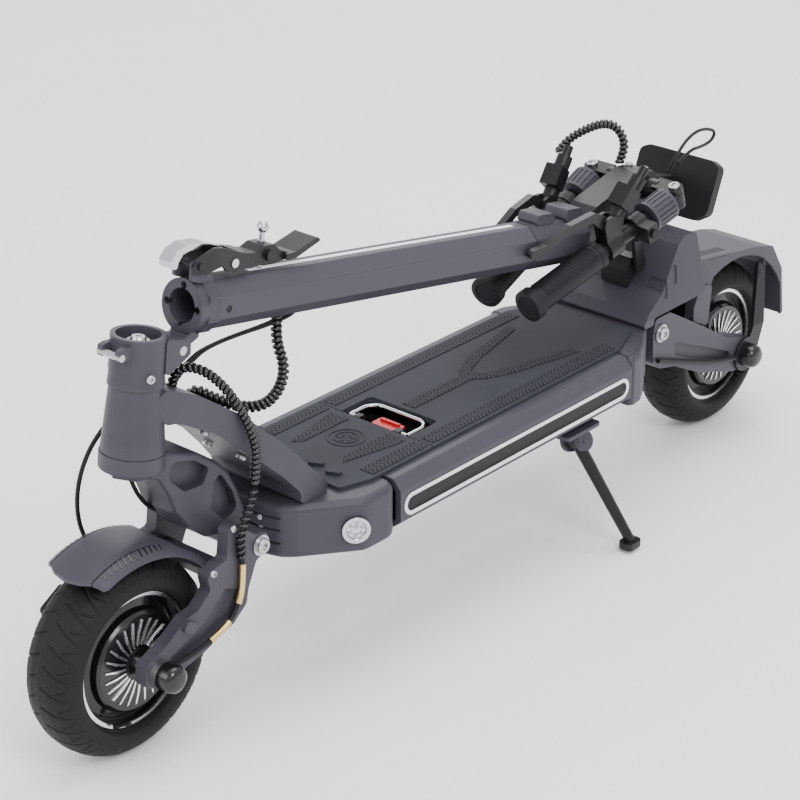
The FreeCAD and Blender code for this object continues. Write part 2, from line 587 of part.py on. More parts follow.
    legs = [(120, -44, 229.5), (79.5, -44, 229.5), (79.5, 44, 229.5), (120, 44, 229.5)]
    bail = fuse(lead(legs, 2.6), rod((120, -44, 229.5), (120, 44, 229.5), 2.6).cut(box(60, 140, -36, 36, 200, 240)))
    save("handle_bail", bail)
    posts = []
    for s in (1, -1):
        p0, p1 = (34.8, 26.0) if s > 0 else (-26.0, -34.8)
        post = slab_xz([(113, 212.0 + FLUSH), (127, 212.0 + FLUSH), (127, 233), (113, 233)],
                       min(p0, p1), max(p0, p1), 3.0)
        post = post.cut(along_y(120, 229.5, 2.6 + RUN, -60, 60))
        posts.append(post)
    latch = fuse(slab_xy([(94, -19), (112, -19), (112, 19), (94, 19)], 213.0, 224.0, 3.0),
                 box(97, 101, -14, 14, 222, 227))
    save("battery_latch", latch)
    feet = [Part.makeCone(6.0, 7.5, 5.0, V(x, y, DECK_Z0 - 5 - FLUSH), V(0, 0, 1)) for x, y in
            ((322, 40), (322, -40), (262, 84), (262, -84))]
    save("deck_trim", *(trims + ports + posts + feet))


def neck():
    side = [(279, DECK_Z1 + FLUSH), (282, 243), (306, 266), (350, 315), (394, 358), (444, 395), (484, 413.5),
            (500, 400), (486, 372), (470, 370), (428, 347), (384, 307), (349, 272), (325, 244), (326, DECK_Z1 + FLUSH)]
    beam = slab_xz(side, -80, 80, 26.0)
    plan = slab_xy(mirrored([(268, 0), (268, 72), (332, 68), (400, 48), (470, 30), (505, 28), (505, 0)]), 200, 450, 40.0)
    beam = beam.common(plan)
    beam = soften(beam, 5.0, lambda e: e.Length > 60 and abs(e.CenterOfMass.y) > 25)
    cone = to_steer(Part.makeCone(CROWN_R - 1.0, HEAD_TOP_R, HEAD_TOP - CROWN_TOP - GAP, V(0, 0, CROWN_TOP + GAP)))
    swept = to_steer(Part.makeCylinder(200, 300, V(0, 0, HEAD_TOP))).fuse(
        to_steer(Part.makeCylinder(60, CROWN_TOP + GAP + 60, V(0, 0, -60))))
    body = fuse(beam, cone).cut(swept)
    body = body.cut(to_steer(Part.makeCylinder(STEERER_R + RUN, 200, V(0, 0, 0))))
    body = body.cut(rod(*NECK_HOLE, 6.4)).cut(rod(*NECK_HOLE_FAR, 7.4))
    save("neck", max(body.Solids, key=lambda q: q.Volume))


def kick_plate():
    def block(g):
        """Solid inside the cover, g inside its outer surface."""
        side = [(-296 - 2 * g, 230.4 - 9 * (g > 0)), (-312 - g, 247 - g), (-345 - g, 263 - g), (-396 - g, 312 - g),
                (-412, 320 - g), (-437 + g, 318 - g), (-437 + g, 240 - 20 * (g > 0)), (-322, 240 - 20 * (g > 0)),
                (-322, 230.4 - 9 * (g > 0))]
        low, high = 75.0 - g, 54.0 - g
        front = [(-low, 200), (low, 200), (low, 240), (high, 321), (-high, 321), (-low, 240)]
        return slab_xz(side, -90, 90, 5.0).common(slab_yz(front, -500, -200, 3.0))
    cover = block(0).cut(block(4.0))
    for x, z, yy in ((-352, 268, 68.0), (-376, 280, 65.0)):
        for s in (1, -1):
            slot = fuse(along_y(x, z - 7, 5.0, 40, 90), along_y(x - 3, z + 7, 5.0, 40, 90))
            slot = slot.fuse(slab_xz([(x + 5, z - 7), (x - 5, z - 7), (x - 8, z + 7), (x + 2, z + 7)], 40, 90))
            skin = block(0.0).cut(block(1.6))
            cover = cover.cut((slot if s > 0 else mirror_y(slot)).common(skin))
    save("kick_plate", max(cover.Solids, key=lambda q: q.Volume))


def catch():
    """Pivoting catch that holds the folded handlebar end, on a block bolted to the kick plate."""
    x, z = CATCH_AT
    block = slab_xz([(x + 16, 258), (x + 16, z - 6), (x + 9, z + 9), (x - 9, z + 9), (x - 20, 296), (x - 14, 288),
                     (x + 4, 270)], -20, 20, 3.0)
    block = block.cut(along_y(x, z, 4.0 + RUN, -60, 60))
    save("catch_block", block)
    px_, _, pz = stem_point(CATCH_PIN_U, 0, CATCH_PIN_V)
    hook = slab_xz([(x + 8, z - 8), (x + 9, z + 4), (px_ - 5.5, pz - 10), (px_ - 5.5, pz + 7), (px_ + 5, pz + 6.5),
                    (px_ + 6, pz + 11), (px_ - 12, pz + 13), (px_ - 16, pz - 4), (x - 10, z + 4), (x - 8, z - 8)],
                   24, 30, 1.2)
    pin = along_y(x, z, 4.0, -30, 30)
    top = rod((px_ - 12, -27, pz + 3), (px_ - 12, 27, pz + 3), 3.0)
    save("catch_hook", fuse(hook, mirror_y(hook), pin))


def kickstand():
    x, y, z = STAND_X, STAND_Y, STAND_Z
    plate = slab_xy([(-165, 70), (-100, 70), (-100, 112), (-165, 112)], DECK_Z0 - 5, DECK_Z0 - FLUSH, 4.0)
    p, q = V(x, y, z), V(FOOT_XY[0], FOOT_XY[1], FOOT_CLEAR + 9.0)
    d = (q - p).normalize()
    a = (V(0, 1, 0) - d * d.y).normalize()
    ears = []
    for o in (-13.0, 13.0):
        c = p + a * o
        ear = Part.makeCylinder(13.0, 6.0, c - a * 3.0, a)
        up = Part.makeBox(22, 6, 22, V(-11, -3, 0))
        up.rotate(V(0, 0, 0), V(1, 0, 0), degrees(atan2(a.z, a.y)))
        up.translate(c)
        ears += [ear, up]
    top = box(-200, -60, 20, 200, DECK_Z0 - FLUSH, 260)
    pin = Part.makeCylinder(4.0, 34.0, p - a * 17.0, a)
    bracket = fuse(plate, *ears).cut(top).fuse(pin).removeSplitter()
    save("stand_bracket", bracket)
    leg = Part.makeCylinder(9.0, 17.0, p - a * 8.5, a)
    n = a.cross(d)
    shaft = Part.makeCone(8.0, 6.5, (q - p).Length, p, d)
    foot = slab_xy([(q.x - 13, q.y - 10), (q.x + 13, q.y - 10), (q.x + 13, q.y + 10), (q.x - 13, q.y + 10)], FOOT_CLEAR,
                   FOOT_CLEAR + 9.0, 6.0)
    leg = fuse(leg, shaft, foot).cut(Part.makeCylinder(4.0 + RUN, 60, p - a * 30, a))
    save("stand_leg", leg.cut(box(-400, 100, 0, 300, -20, FOOT_CLEAR)))


def deck_bolts():
    bolts = []
    for s in (1, -1):
        bolts.append(bolt((421.5, s * 20, 339.2), (0.663, 0, -0.748), 6.0, 4.0))
        bolts.append(bolt((372.5, s * 26, 293.6), (0.7, 0, -0.714), 6.0, 4.0))
    return bolts


# ---- steering ----------------------------------------------------------------------------------------
def fork():
    px, pz = F_PIVOT
    ring = Part.makeCylinder(CROWN_R, CROWN_TOP - CROWN_LOW, V(0, 0, CROWN_LOW))
    ring = soften(ring, 2.5, lambda e: abs(e.CenterOfMass.z - CROWN_LOW) < 0.1)
    nut_r = 26.0
    hexa = [(nut_r * cos(radians(60 * k)), nut_r * sin(radians(60 * k))) for k in range(6)]
    nut = slab_xy(hexa, 0.0, CROWN_LOW + 1, 2.0)
    crown = to_steer(ring.fuse(nut))
    side = [(505, 344), (478, 338), (440, 324), (412, 303), (394, 284), (381, 259), (371, 230), (px - 16, pz + 4),
            (px - 13, pz - 12), (px + 4, pz - 17), (px + 16, pz - 6), (px + 22, pz + 7), (430, 217), (456, 240),
            (473, 262), (482, 286), (496, 312), (511, 318)]
    arm = slab_xz(side, -FORK_HALF_W, FORK_HALF_W, 16.0)
    above = to_steer(Part.makeCylinder(70, 200, V(0, 0, CROWN_TOP)))
    arm = arm.cut(above)
    arm = soften(arm, 5.0, lambda e: e.Length > 25 and abs(abs(e.CenterOfMass.y) - FORK_HALF_W) < 0.1)
    for pts in ([(478, 327), (446, 317), (424, 300), (434, 284), (462, 286), (484, 308)],
                [(408, 288), (391, 260), (384, 236), (404, 228), (424, 250), (418, 280)]):
        pocket = slab_xz(pts, FORK_HALF_W - 11.0, FORK_HALF_W + 5, 7.0)
        arm = arm.cut(pocket).cut(mirror_y(pocket))
    body = fuse(crown, arm)
    body = body.cut(along_y(px, pz, PIVOT_R + FLUSH, -60, 60))
    body = body.cut(to_steer(Part.makeCylinder(STEERER_R + FLUSH, 60, V(0, 0, 6))))
    save("fork_crown", body)
    bolt_end = F_ARM_OUT_Y + FLUSH
    pins = [along_y(px, pz, PIVOT_R, -bolt_end, bolt_end)]
    for s in (1, -1):
        y0 = bolt_end if s > 0 else -bolt_end
        pins.append(Part.makeCylinder(12.0, 2.5, V(px, y0, pz), V(0, s, 0)))
        pins.append(bolt((px, y0 + s * 2.5, pz), (0, s, 0), 9.0, 5.5))
    steerer = Part.makeCylinder(STEERER_R, 134.0, V(0, 0, 6 + FLUSH)).cut(Part.makeCylinder(11.0, 200, V(0, 0, 0)))
    save("steerer_and_pivot", to_steer(steerer), fuse(*pins))


def stem_base():
    """Lower half of the folding joint, clamped on the steerer."""
    t0, t1 = HEAD_TOP + GAP, BASE_TOP
    body = Part.makeCylinder(BASE_R, t1 - t0, V(0, 0, t0))
    flare = Part.makeCone(BASE_R + 1, BASE_R, 10.0, V(0, 0, t0))
    ears = slab_xz([(8, CATCH_T - 14), (CATCH_N - 9, CATCH_T - 5), (CATCH_N + 3.5, CATCH_T - 4.2),
                    (CATCH_N + 3.5, t1 - 8), (CATCH_N - 4, t1 - 6), (8, t1 - 6)], -16.5, 16.5, 2.0)
    ears = ears.cut(box(CATCH_N - 7, 80, -9.5, 9.5, 0, 400))
    ears = ears.cut(Part.makeCylinder(BASE_R - 6, 400, V(0, 0, 0)))
    lugs = []
    for s in (1, -1):
        y0 = TONGUE_HALF_W + GAP if s > 0 else -LUG_OUT_Y
        lug = slab_xz([(HINGE_N - 11, HINGE_T - 6), (HINGE_N - 10, HINGE_T + 9), (HINGE_N + 2, HINGE_T + 13),
                       (-14, t1 - 3), (-14, HINGE_T - 26), (HINGE_N, HINGE_T - 12)],
                      y0, y0 + LUG_OUT_Y - TONGUE_HALF_W - GAP, 5.0)
        lugs.append(lug)
    base = fuse(body, flare, ears, *lugs)
    base = base.cut(Part.makeCylinder(STEERER_R + FLUSH, 200, V(0, 0, 80)))
    base = base.cut(Part.makeCylinder(24.0, 60, V(0, 0, t1 - 12)))
    swing = Part.makeCylinder(14.5, 2 * (TONGUE_HALF_W + GAP), V(HINGE_N, -TONGUE_HALF_W - GAP, HINGE_T), V(0, 1, 0))
    base = base.cut(swing)
    for n, t, r in ((HINGE_N, HINGE_T, HINGE_PIN_R), (CATCH_N, CATCH_T, 4.0)):
        base = base.cut(Part.makeCylinder(r + FLUSH, 90, V(n, -45, t), V(0, 1, 0)))
    save("stem_base", to_steer(base))
    hinge = Part.makeCylinder(HINGE_PIN_R, 2 * LUG_OUT_Y, V(HINGE_N, -LUG_OUT_Y, HINGE_T), V(0, 1, 0))
    cross = Part.makeCylinder(4.0, 34.0, V(CATCH_N, -17, CATCH_T), V(0, 1, 0))
    cap = Part.makeCylinder(12.0, 5.0, V(0, 0, t1 - 12 + FLUSH))
    cap = cap.fuse(Part.makeCone(9.0, 7.0, 4.0, V(0, 0, t1 - 7 + FLUSH)))
    cap = cap.cut(Part.makeCylinder(3.0, 20, V(0, 0, t1 - 5)))
    screws = [bolt((8, s * 27.9, 114), (0.28, s, 0), 5.0, 4.0) for s in (1, -1)]
    base_cut = to_steer(base)
    screws = [to_steer(q).cut(base_cut) for q in screws]
    save("base_pins", to_steer(hinge), to_steer(cross), to_steer(cap.removeSplitter()),
         *[max(q.Solids, key=lambda w: w.Volume) for q in screws])


# ---- stem --------------------------------------------------------------------------------------------
def octagon(w, x0, x1):
    h, c = w / 2, w * 0.27
    pts = [(-h, -h + c), (-h + c, -h), (h - c, -h), (h, -h + c), (h, h - c), (h - c, h), (-h + c, h), (-h, h - c)]
    return slab_yz([(y, z) for y, z in pts], x0, x1, 3.0)


def stem():
    beam = octagon(STEM_W, -HEADCAST_U, -FOOT_LEN)
    beam = beam.cut(octagon(STEM_W - 2 * WALL, -HEADCAST_U - 1, -FOOT_LEN + 1))
    beam = beam.cut(box(-555, -95, -3.0, 3.0, STEM_W / 2 - 2.0, STEM_W / 2 + 2))
    save("stem_tube", to_stem(beam))
    led = box(-555 + FLUSH, -95 - FLUSH, -3.0 + FLUSH, 3.0 - FLUSH, STEM_W / 2 - 2.0 + FLUSH, STEM_W / 2 + 0.6)
    save("stem_led", to_stem(led))

    ring = Part.makeCylinder(FOOT_R, 16.0, V(-16, 0, 0), V(1, 0, 0))
    ring = ring.fuse(octagon(STEM_W + 4, -FOOT_LEN + FLUSH, -12))
    sleeve = octagon(STEM_W - 2 * WALL - 2 * FLUSH, -FOOT_LEN - 50, -20)
    foot = fuse(ring, sleeve)
    foot = foot.cut(Part.makeCylinder(19.0, 200, V(-150, 0, 0), V(1, 0, 0)))
    for y, z in ((0, 24), (0, -24), (24, 0), (-24, 0)):
        foot = foot.cut(Part.makeCylinder(4.0, 12, V(-10, y * 0.93, z * 0.93), V(1, 0, 0)))
    hx, hz = BASE_TOP + STEM_SEAT - HINGE_T, HINGE_N
    tongue = slab_xz([(hx + 10, hz - 6), (hx + 8, hz + 8), (-1, -FOOT_R - 1), (-1, -22), (-16, -22), (-16, -33),
                      (hx - 6, hz - 10)], -TONGUE_HALF_W, TONGUE_HALF_W, 3.0)
    knuckle = along_y(hx, hz, 11.0, -TONGUE_HALF_W, TONGUE_HALF_W)
    inside = Part.makeCylinder(19.0, 200, V(-150, 0, 0), V(1, 0, 0))
    foot = fuse(foot, tongue.fuse(knuckle).cut(inside))
    foot = foot.cut(along_y(hx, hz, HINGE_PIN_R + RUN, -30, 30))
    cheeks = []
    for s in (1, -1):
        y0 = 10.2 if s > 0 else -14.7
        cheek = slab_xz([(4, 30), (5, 51), (-10, 51.5), (-24, 36), (-30 + FLUSH, 27.0), (-8, 27.0)], y0, y0 + 4.5, 3.0)
        cheeks.append(cheek)
    foot = fuse(foot, *cheeks).cut(along_y(LATCH_X, LATCH_Z, 4.0 + RUN, -40, 40))
    save("stem_foot", to_stem(foot))

    head = octagon(STEM_W + 2, -STEM_LEN, -HEADCAST_U - FLUSH)
    plug = octagon(STEM_W - 2 * WALL - 2 * FLUSH, -HEADCAST_U - 5, -HEADCAST_U + 45)
    bump1 = slab_xz([(-584, 27), (-588, 40), (-618, 40), (-624, 27)], -15, 15, 4.0)
    bump2 = slab_xz([(-640, 27), (-644, 42), (-672, 42), (-676, 27)], -17, 17, 4.0)
    head = fuse(head, plug, bump1, bump2)
    head = head.cut(Part.makeCylinder(17.0, 120, V(-660, 0, 0), V(1, 0, 0)))
    save("stem_head", to_stem(head))

    riser = slab_xz([(-STEM_LEN - FLUSH, -24), (-STEM_LEN - FLUSH, 25), (-700, 40), (-786, 76), (-BAR_U - 12, 77),
                     (-BAR_U - 22, 60), (-BAR_U - 12, 34), (-790, 24), (-730, -8)], -19, 19, 8.0)
    clamp = Part.makeCylinder(22.0, 38.0, V(-BAR_U, -19, BAR_V), V(0, 1, 0))
    stub = Part.makeCylinder(15.0, 2 * (KNUCKLE_Y - 25), V(-BAR_U, -KNUCKLE_Y + 25, BAR_V), V(0, 1, 0))
    riser = fuse(riser, clamp, stub)
    cp = along_y(-CATCH_PIN_U, CATCH_PIN_V, 4.0, -31, 31)
    web = slab_xz([(-CATCH_PIN_U - 8, CATCH_PIN_V - 6), (-CATCH_PIN_U + 8, CATCH_PIN_V - 6), (-750, 30), (-790, 40)],
                  -19, 19, 2.0)
    riser = to_stem(fuse(riser, web, cp))
    forks, pins = [], []
    kx, _, kz = stem_point(BAR_U, 0, BAR_V)
    up = V(0.283, 0, 0.959).normalize()
    for s in (1, -1):
        k = V(kx, s * KNUCKLE_Y, kz)
        for o in (-14.0, 8.0 + GAP):
            ear = Part.makeCylinder(11.0, 6.0 - GAP, k + up * o, up)
            link = Part.makeBox(22, 30, 6.0 - GAP, V(-11, -30 if s > 0 else 0, 0))
            link.rotate(V(0, 0, 0), V(0, 1, 0), degrees(atan2(up.x, up.z)))
            link.translate(k + up * o)
            forks += [ear, link]
        pins.append(Part.makeCylinder(4.0, 30.0, k - up * 15.0, up).fuse(
            Part.makeCylinder(7.0, 3.5, k + up * (14.0 + FLUSH), up)).removeSplitter())
    riser = fuse(riser, *forks)
    for s in (1, -1):
        k = V(kx, s * KNUCKLE_Y, kz)
        riser = riser.cut(Part.makeCylinder(4.0 + FLUSH, 60, k - up * 30, up))
    save("bar_riser", riser)
    caps = []
    for y in (-12, 12):
        caps.append(to_stem(bolt((-BAR_U + 0, y, BAR_V + 22.4), (0, 0, 1), 4.5, 4.0)))
    save("bar_pins", *(pins + caps))


def display():
    """Tablet shaped display seen from behind when folded, on a bracket off the bar clamp."""
    c, n = V(-458, 0, 366), V(-0.928, 0, -0.373)
    w, h, t = 62.0, 40.0, 14.0
    tab = slab_yz([(-w, -h + 12), (-w, h - 6), (-w + 14, h), (w - 14, h), (w, h - 6), (w, -h + 12), (w - 18, -h),
                   (-w + 18, -h)], -t, 0, 10.0)
    tab.rotate(V(0, 0, 0), V(0, 1, 0), -degrees(atan2(0.373, 0.928)))
    tab.translate(c)
    a, b = V(*stem_point(BAR_U + 18, 0, BAR_V + 4)), c + n * 2
    arm = slab_xz([(a.x + 3, a.z + 8), (a.x + 3, a.z - 8), (b.x + 8, b.z - 6), (b.x + 8, b.z + 14)], -11, 11, 2.0)
    kx, _, kz = stem_point(BAR_U, 0, BAR_V)
    arm = arm.cut(along_y(kx, kz, 22.0 + 0.2, -40, 40))
    save("display", fuse(tab, arm))


def latch():
    """Over-centre lever on the stem foot, the hook it pulls and the sprung safety pin through it."""
    side = [(6, 38), (8, 47), (2, 55), (-22, 64), (-34, 63), (-66, 54), (-92, 50), (-104, 56), (-120, 56), (-130, 48),
            (-145, 44), (-145, 38), (-120, 34), (-70, 36), (-54, 34), (-44, 36), (-36, 43), (-14, 37)]
    lever = slab_xz(side, -CHEEK_OUT_Y, CHEEK_OUT_Y, 3.0)
    lever = lever.cut(box(-66, 20, -CHEEK_IN_Y, CHEEK_IN_Y, 0, 90))
    for s in (1, -1):
        lever = lever.cut(box(-150, -84, *sorted((s * 12.5, s * 30)), 0, 90))
    paddle = slab_xz([(-136, 37), (-136, 44), (-150, 45), (-184, 58), (-190, 54), (-152, 38)], -17, 17, 3.0)
    lever = fuse(lever, paddle, along_y(LATCH_X, LATCH_Z, 4.0, -CHEEK_OUT_Y - 2, CHEEK_OUT_Y + 2),
                 along_y(SAFE_X, 45, 6.0, -CHEEK_OUT_Y + 2, CHEEK_OUT_Y - 2))
    lever = lever.cut(along_y(LEVER_PIN_X, LEVER_PIN_Z, 5.0 + RUN, -40, 40))
    lever = lever.cut(Part.makeCylinder(3.0 + RUN, 60, V(SAFE_X, 0, 20), V(0, 0, 1)))
    save("latch_lever", to_stem(lever))
    reach = BASE_TOP + STEM_SEAT - CATCH_T + 4.6
    hook = slab_xz([(LEVER_PIN_X - 8, 38), (LEVER_PIN_X - 8, 50), (-40, 62), (-14, 69), (10, 69), (24, 63), (31, 53),
                    (30, 45), (reach + 1, 43.5), (reach, 50), (reach - 6, 59), (4, 62), (-14, 61), (-34, 55),
                    (LEVER_PIN_X + 8, 44), (LEVER_PIN_X + 4, 37)], -HOOK_HALF_W, HOOK_HALF_W, 2.5)
    pin = along_y(LEVER_PIN_X, LEVER_PIN_Z, 5.0, -CHEEK_OUT_Y - 2, CHEEK_OUT_Y + 2)
    pin = pin.fuse(along_y(LEVER_PIN_X, LEVER_PIN_Z, 7.5, -CHEEK_IN_Y + GAP, CHEEK_IN_Y - GAP))
    save("latch_hook", to_stem(fuse(pin, hook)))
    z0 = STEM_W / 2 + 1.0
    pin = Part.makeCylinder(3.0, 40.0, V(SAFE_X, 0, z0), V(0, 0, 1))
    ball = Part.makeSphere(6.5, V(SAFE_X, 0, z0 + 45))
    save("safety_pin", to_stem(fuse(pin, ball, Part.makeCylinder(4.6, 1.6, V(SAFE_X, 0, 57.2), V(0, 0, 1)))))


# ---- handlebar halves ----------------------------------------------------------------------------------
def to_bar(s, side):
    """Bar frame: +X outwards along the bar, +Z along the folding pin, for the left half; mirrored for right."""
    x = V(FOLD_DIR[0], -FOLD_DIR[1], FOLD_DIR[2]).normalize()
    z = V(0.283, 0, 0.959)
    z = (z - x * z.dot(x)).normalize()
    y = z.cross(x)
    kx, _, kz = stem_point(BAR_U, 0, BAR_V)
    m = FreeCAD.Matrix(x.x, y.x, z.x, kx, x.y, y.y, z.y, KNUCKLE_Y, x.z, y.z, z.z, kz, 0, 0, 0, 1)
    s = s.copy()
    s.transformShape(m)
    return s if side > 0 else mirror_y(s)


def half_bar(name, side):
    core = rod((14, 0, 0), (BAR_LEN, 0, 0), BAR_R).cut(rod((60, 0, 0), (BAR_LEN + 5, 0, 0), BAR_R - 2.5))
    eye = Part.makeCylinder(11.0, 2 * (8.0 - GAP), V(0, 0, -8.0 + GAP)).fuse(box(0, 15, -8, 8, -8 + GAP, 8 - GAP))
    thread = rod((14, 0, 0), (16, 0, 0), 13.0)
    clamp = tube((PERCH_S - 10, 0, 0), (PERCH_S + 12, 0, 0), 16.0, BAR_R - 1)
    px, pz = LEVER_PIVOT
    ears = slab_xz([(PERCH_S - 12, 8), (PERCH_S + 12, 8), (px + 9, pz + 2), (px + 4, pz + 11), (px - 8, pz + 10),
                    (PERCH_S - 22, 34)], -10, 10, 4.0)
    ears = ears.cut(box(PERCH_S - 12, 140, -4.8 - GAP, 4.8 + GAP, pz - 12, pz + 30))
    master = rod((PERCH_S - 14, 0, 30), (PERCH_S - 66, 0, 62), 10.0)
    cap = rod((PERCH_S - 64, 0, 60.8), (PERCH_S - 78, 0, 69.4), 6.0)
    tank = box(PERCH_S - 50, PERCH_S - 22, -12, 12, 40, 62)
    tank.rotate(V(PERCH_S - 36, 0, 50), V(0, 1, 0), 31.6)
    pin = Part.makeCylinder(3.0, 20.0, V(px, -10, pz), V(0, 1, 0))
    parts = [core, eye.cut(Part.makeCylinder(4.0 + RUN, 60, V(0, 0, -30))), thread, clamp, ears, master, cap, tank, pin]
    if side > 0:
        pod = fuse(tube((66, 0, 0), (84, 0, 0), 17.0, BAR_R - 1), box(66, 84, 8, 30, -11, 11))
        pod = pod.cut(Part.makeCylinder(4.0 + RUN, 12, V(75, 21, 0), V(0, 1, 0)))
        parts.append(pod)
    else:
        parts.append(tube((66, 0, 0), (82, 0, 0), 17.0, BAR_R - 1))
    body = fuse(*parts)
    body = body.cut(rod((60, 0, 0), (BAR_LEN + 5, 0, 0), BAR_R - 2.5))
    save(name + "_bar", to_bar(body, side))

    grip = tube((GRIP_FROM, 0, 0), (BAR_LEN + 4, 0, 0), GRIP_R - 1, BAR_R + FLUSH)
    grip = grip.fuse(tube((GRIP_FROM, 0, 0), (GRIP_FROM + 8, 0, 0), GRIP_R - 0.4, BAR_R + FLUSH))
    grip = fuse(grip, rod((BAR_LEN + GAP, 0, 0), (BAR_LEN + 8, 0, 0), GRIP_R + 2))
    save(name + "_grip", to_bar(grip, side))

    collar = tube((COLLAR_FROM, 0, 0), (COLLAR_TO, 0, 0), COLLAR_R, BAR_R + RUN)
    for k in range(20):
        v = box(COLLAR_FROM + 5, COLLAR_TO - 5, -1.2, 1.2, COLLAR_R - 1.2, COLLAR_R + 2)
        v.rotate(V(0, 0, 0), V(1, 0, 0), 18 * k)
        collar = collar.cut(v)
    save(name + "_collar", to_bar(collar, side))

    blade = slab_xz([(px - 7, pz - 4), (px + 6, pz - 7), (px + 22, pz + 16), (px + 60, pz + 24), (px + 108, pz + 22),
                     (px + 126, pz + 26), (px + 130, pz + 34), (px + 122, pz + 36), (px + 100, pz + 31),
                     (px + 58, pz + 34), (px + 16, pz + 27), (px - 6, pz + 7)], -4.8, 4.8, 4.0)
    blade = blade.cut(Part.makeCylinder(3.0 + RUN, 40, V(px, -20, pz), V(0, 1, 0)))
    save(name + "_lever", to_bar(blade, side))

    if side > 0:
        button = Part.makeCylinder(4.0, 9.0, V(75, 24.4, 0), V(0, 1, 0))
        button = fuse(button, Part.makeCylinder(6.0, 2.0, V(75, 31.8, 0), V(0, 1, 0)))
        save("horn_button", to_bar(button, side))
    else:
        ring = tube((84, 0, 0), (90, 0, 0), 16.5, BAR_R + RUN)
        paddle = slab_yz([(4, -13), (16, -8), (30, -20), (26, -27), (6, -20)], 84, 101, 2.5)
        paddle = paddle.cut(rod((80, 0, 0), (110, 0, 0), 16.8)).fuse(
            slab_yz([(4, -13), (16, -8), (22, -16), (8, -20)], 84, 90, 1.5).cut(rod((80, 0, 0), (110, 0, 0), 13)))
        save("throttle", to_bar(fuse(ring, paddle), side))


# ---- build ---------------------------------------------------------------------------------------------
wheel("front", HALF_BASE)
wheel("rear", -HALF_BASE)
axle("front", HALF_BASE, F_ARM_OUT_Y)
axle("rear", -HALF_BASE, R_ARM_OUT_Y)
front_arm()
rear_arm()
front_fender()
rear_fender()
caliper("front", HALF_BASE, 1)
caliper("rear", -HALF_BASE, -1)
leads()
harnesses()
deck()
neck()
kick_plate()
catch()
kickstand()
fork()
stem_base()
stem()
display()
latch()
half_bar("left", 1)
half_bar("right", -1)

px, pz = R_PIVOT
end = R_ARM_OUT_Y + FLUSH
pins = [along_y(px, pz, PIVOT_R, -end, end)]
for s in (1, -1):
    pins.append(Part.makeCylinder(12.0, 2.5, V(px, s * end, pz), V(0, s, 0)))
    pins.append(bolt((px, s * (end + 2.5), pz), (0, s, 0), 9.0, 5.5))
save("deck_bolts", fuse(*pins), *deck_bolts())
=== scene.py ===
"""Looks of the folded electric kick scooter, built round its CAD frame. Metres, +Z up, origin on the foot mat."""
import json
import math

import bmesh
import bpy
import numpy as np
from mathutils import Matrix, Vector
from mathutils.bvhtree import BVHTree


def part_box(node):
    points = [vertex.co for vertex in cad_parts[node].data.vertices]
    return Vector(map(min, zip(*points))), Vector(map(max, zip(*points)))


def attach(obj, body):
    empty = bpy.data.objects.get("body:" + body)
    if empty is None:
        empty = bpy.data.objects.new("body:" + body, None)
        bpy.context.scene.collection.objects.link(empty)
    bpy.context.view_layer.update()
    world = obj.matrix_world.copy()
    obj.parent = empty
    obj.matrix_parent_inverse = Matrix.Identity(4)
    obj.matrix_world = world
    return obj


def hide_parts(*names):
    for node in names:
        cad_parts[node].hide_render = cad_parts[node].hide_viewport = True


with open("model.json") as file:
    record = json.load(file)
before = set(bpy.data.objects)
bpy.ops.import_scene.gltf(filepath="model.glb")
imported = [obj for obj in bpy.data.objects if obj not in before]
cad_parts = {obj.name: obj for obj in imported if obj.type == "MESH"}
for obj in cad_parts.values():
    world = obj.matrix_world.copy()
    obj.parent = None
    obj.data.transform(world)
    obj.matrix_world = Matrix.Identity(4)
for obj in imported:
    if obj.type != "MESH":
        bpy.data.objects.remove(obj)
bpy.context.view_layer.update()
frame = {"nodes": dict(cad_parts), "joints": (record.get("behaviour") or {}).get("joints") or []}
NODES = frame["nodes"]
JOINTS = {j["name"]: j for j in frame["joints"]}

MM = 0.001
GROUND_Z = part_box("front_tyre")[0][2]
STEM_TILT = math.radians(10.6)
STEM_U = Vector((-math.cos(STEM_TILT), 0, -math.sin(STEM_TILT)))      # from the foot towards the handlebar
STEM_V = Vector((-math.sin(STEM_TILT), 0, math.cos(STEM_TILT)))       # out of the stem's top face
STEM_ORIGIN = Vector(JOINTS["latch_lever_pivot"]["pos_m"]) - 3 * MM * STEM_U - 46.4 * MM * STEM_V
STEM_HALF_W = 27 * MM


# ---- helpers ---------------------------------------------------------------------------------------
def on_stem(u, y, v):
    """Point u along the stem, y to the rider's left and v above its axis, given in millimetres."""
    return STEM_ORIGIN + STEM_U * (u * MM) + STEM_V * (v * MM) + Vector((0, y * MM, 0))


def mm(*points):
    """Points in millimetres above the ground, as points of the frame in metres."""
    return [Vector((x * MM, y * MM, z * MM + GROUND_Z)) for x, y, z in points]


def mesh_piece(name, verts, faces, material, body, smooth=True):
    mesh = bpy.data.meshes.new(name)
    mesh.from_pydata([tuple(v) for v in verts], [], faces)
    mesh.materials.append(material)
    bm = bmesh.new()
    bm.from_mesh(mesh)
    bmesh.ops.recalc_face_normals(bm, faces=bm.faces)
    bm.to_mesh(mesh)
    bm.free()
    if smooth:
        mesh.shade_smooth()
    piece = bpy.data.objects.new(name, mesh)
    bpy.context.collection.objects.link(piece)
    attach(piece, body)
    return piece


def frame_of(direction):
    """Two unit vectors square to a direction."""
    d = Vector(direction).normalized()
    side = d.orthogonal().normalized()
    return d, side, d.cross(side)


